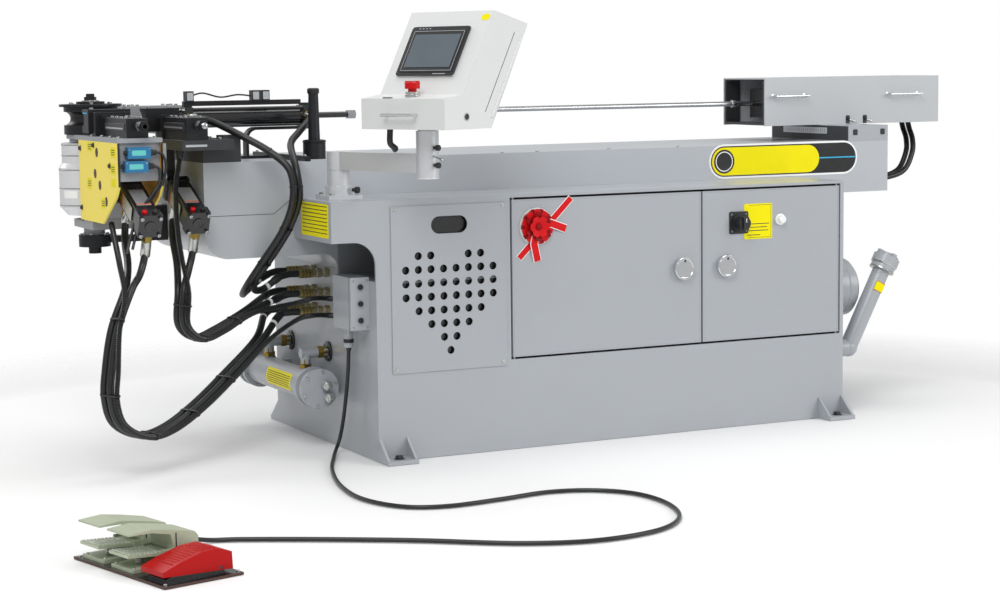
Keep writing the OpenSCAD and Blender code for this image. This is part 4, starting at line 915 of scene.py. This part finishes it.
# Pedals: ribs on the treads, coil springs below, housing seams, rubber cord grip
PEDAL = Matrix.Translation((-1674, -1275, 0)) @ Matrix.Rotation(math.radians(14), 4, "Z")
for i, (name, body) in enumerate((("mid", "mid_foot_tread"), ("left", "left_foot_tread"))):
    ribs = []
    for k in range(9):
        x = -92 + 9.4 * k
        z = 46 - 6 * (x + 96) / 88
        ribs.append(box((x, 125 * i - 37, z - 0.4), (x + 4, 125 * i + 37, z + 2.4)))
    group(name + "_tread_ribs", body, "rib_metal", in_frame(PEDAL, ribs), bevel=0.8)
    coil = [Vector((-44 + 8.5 * math.cos(t), 125 * i + 8.5 * math.sin(t), 15.5 + 19 * t / (10 * math.pi)))
            for t in (math.pi * k / 8 for k in range(81))]
    spring = group(name + "_pedal_spring", "machine", "zinc", in_frame(PEDAL, [sweep(coil, 1.5, 8)]))
    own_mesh(spring)
    group(name + "_hood_seams", "machine", "dark_iron", in_frame(PEDAL, [
        box((13.4, 125 * i + s * 46 - 0.3, 17), (78.4, 125 * i + s * 46 + 0.3, 18)) for s in (-1, 1)]
        + [box((77.8, 125 * i - 46, 40), (78.4, 125 * i + 46, 41.4))]
        + [box((20, 125 * i + s * 46 - 0.5, 48), (23, 125 * i + s * 46 + 0.5, 80)) for s in (-1, 1)]))
    group(name + "_hood_screws", "machine", "zinc", in_frame(PEDAL, [
        q for y in (-38, 38) for q in socket_screw((-80, 125 * i + y, 14), Z, 3.4, 3)]))
ribs = []
for k in range(12):
    x = -60 + 9.5 * k
    z = 44 + (16 * (x + 50) / 60 if x < 10 else 16 + 2 * (x - 10) / 40)
    ribs.append(box((x, -125 - 34, z - 3), (x + 4.5, -125 + 34, z + 1.2)))
group("stop_pedal_ribs", "red_foot_pedal", "red_paint", in_frame(PEDAL, ribs), bevel=0.8)
group("stop_tray_screws", "machine", "zinc", in_frame(PEDAL, [q for x in (-90, 92) for y in (-180, 180) for q in socket_screw((x, y, 6), Z, 4, 3)]))
group("plate_edge", "machine", "brown_edge", in_frame(PEDAL, [
    box((-98.6, -192.6, 0.4), (98.6, -191.8, 5.6)), box((-98.6, 191.8, 0.4), (98.6, 192.6, 5.6)),
    box((-98.8, -192, 0.4), (-97.8, 192, 5.6)), box((97.8, -192, 0.4), (98.8, 192, 5.6))]))
group("cord_grip", "machine", "black_plastic", in_frame(PEDAL, [
    lathe((78, 125, 36), X, [(-0.4, 12), (5, 12), (6, 9), (20, 8), (44, 6)], 20)]))


# Studio: white sweep that keeps the shadow, soft lamps

def studio():
    world = bpy.data.worlds.new("studio")
    world.use_nodes = True
    bpy.context.scene.world = world
    tree = world.node_tree
    back = tree.nodes["Background"]
    back.inputs["Color"].default_value = (1, 1, 1, 1)
    back.inputs["Strength"].default_value = 0.55
    white = tree.nodes.new("ShaderNodeBackground")
    white.inputs["Color"].default_value = (1, 1, 1, 1)
    seen = tree.nodes.new("ShaderNodeLightPath")
    pick = tree.nodes.new("ShaderNodeMixShader")
    tree.links.new(seen.outputs["Is Camera Ray"], pick.inputs[0])
    tree.links.new(back.outputs[0], pick.inputs[1])
    tree.links.new(white.outputs[0], pick.inputs[2])
    tree.links.new(pick.outputs[0], tree.nodes["World Output"].inputs[0])
    for name, at, aim, size, watts in (
            ("key", (-3.2, -4.2, 4.6), (-0.3, 0, 0.5), 3.2, 150), ("fill", (3.6, -4.6, 2.6), (0, 0, 0.7), 3.0, 105),
            ("top", (0, 0.2, 4.8), (0, 0, 0.5), 3.5, 70), ("rim", (-2.5, 3.8, 3.2), (-0.5, 0, 0.6), 2.4, 50)):
        data = bpy.data.lights.new(name, "AREA")
        data.shape = "DISK"
        data.size = size
        data.energy = watts
        lamp = bpy.data.objects.new(name, data)
        bpy.context.scene.collection.objects.link(lamp)
        lamp.location = at
        lamp.rotation_euler = (Vector(aim) - Vector(at)).to_track_quat("-Z", "Y").to_euler()
    bpy.context.scene.view_settings.view_transform = "Standard"


studio()

floor = shape_to_object("floor", [plate([(-30000, -30000), (30000, -30000), (30000, 30000), (-30000, 30000)],
                                        (0, 0, -6), (1, 0, 0), (0, 1, 0), 5)])
floor.data.materials.append(MATS["floor_white"])


def fade_floor(material):
    """Lets the floor fade into the white backdrop away from the machine."""
    tree = material.node_tree
    place = tree.nodes["Texture Coordinate"]
    middle = tree.nodes.new("ShaderNodeVectorMath")
    middle.operation = "DISTANCE"
    middle.inputs[1].default_value = (-0.4, -0.5, 0)
    away = tree.nodes.new("ShaderNodeMapRange")
    away.inputs["From Min"].default_value = 2.0
    away.inputs["From Max"].default_value = 3.0
    clear = tree.nodes.new("ShaderNodeBsdfTransparent")
    mix = tree.nodes.new("ShaderNodeMixShader")
    tree.links.new(place.outputs["Object"], middle.inputs[0])
    tree.links.new(middle.outputs["Value"], away.inputs["Value"])
    tree.links.new(away.outputs["Result"], mix.inputs[0])
    tree.links.new(tree.nodes["Principled BSDF"].outputs[0], mix.inputs[1])
    tree.links.new(clear.outputs[0], mix.inputs[2])
    tree.links.new(mix.outputs[0], tree.nodes["Material Output"].inputs[0])


fade_floor(MATS["floor_white"])
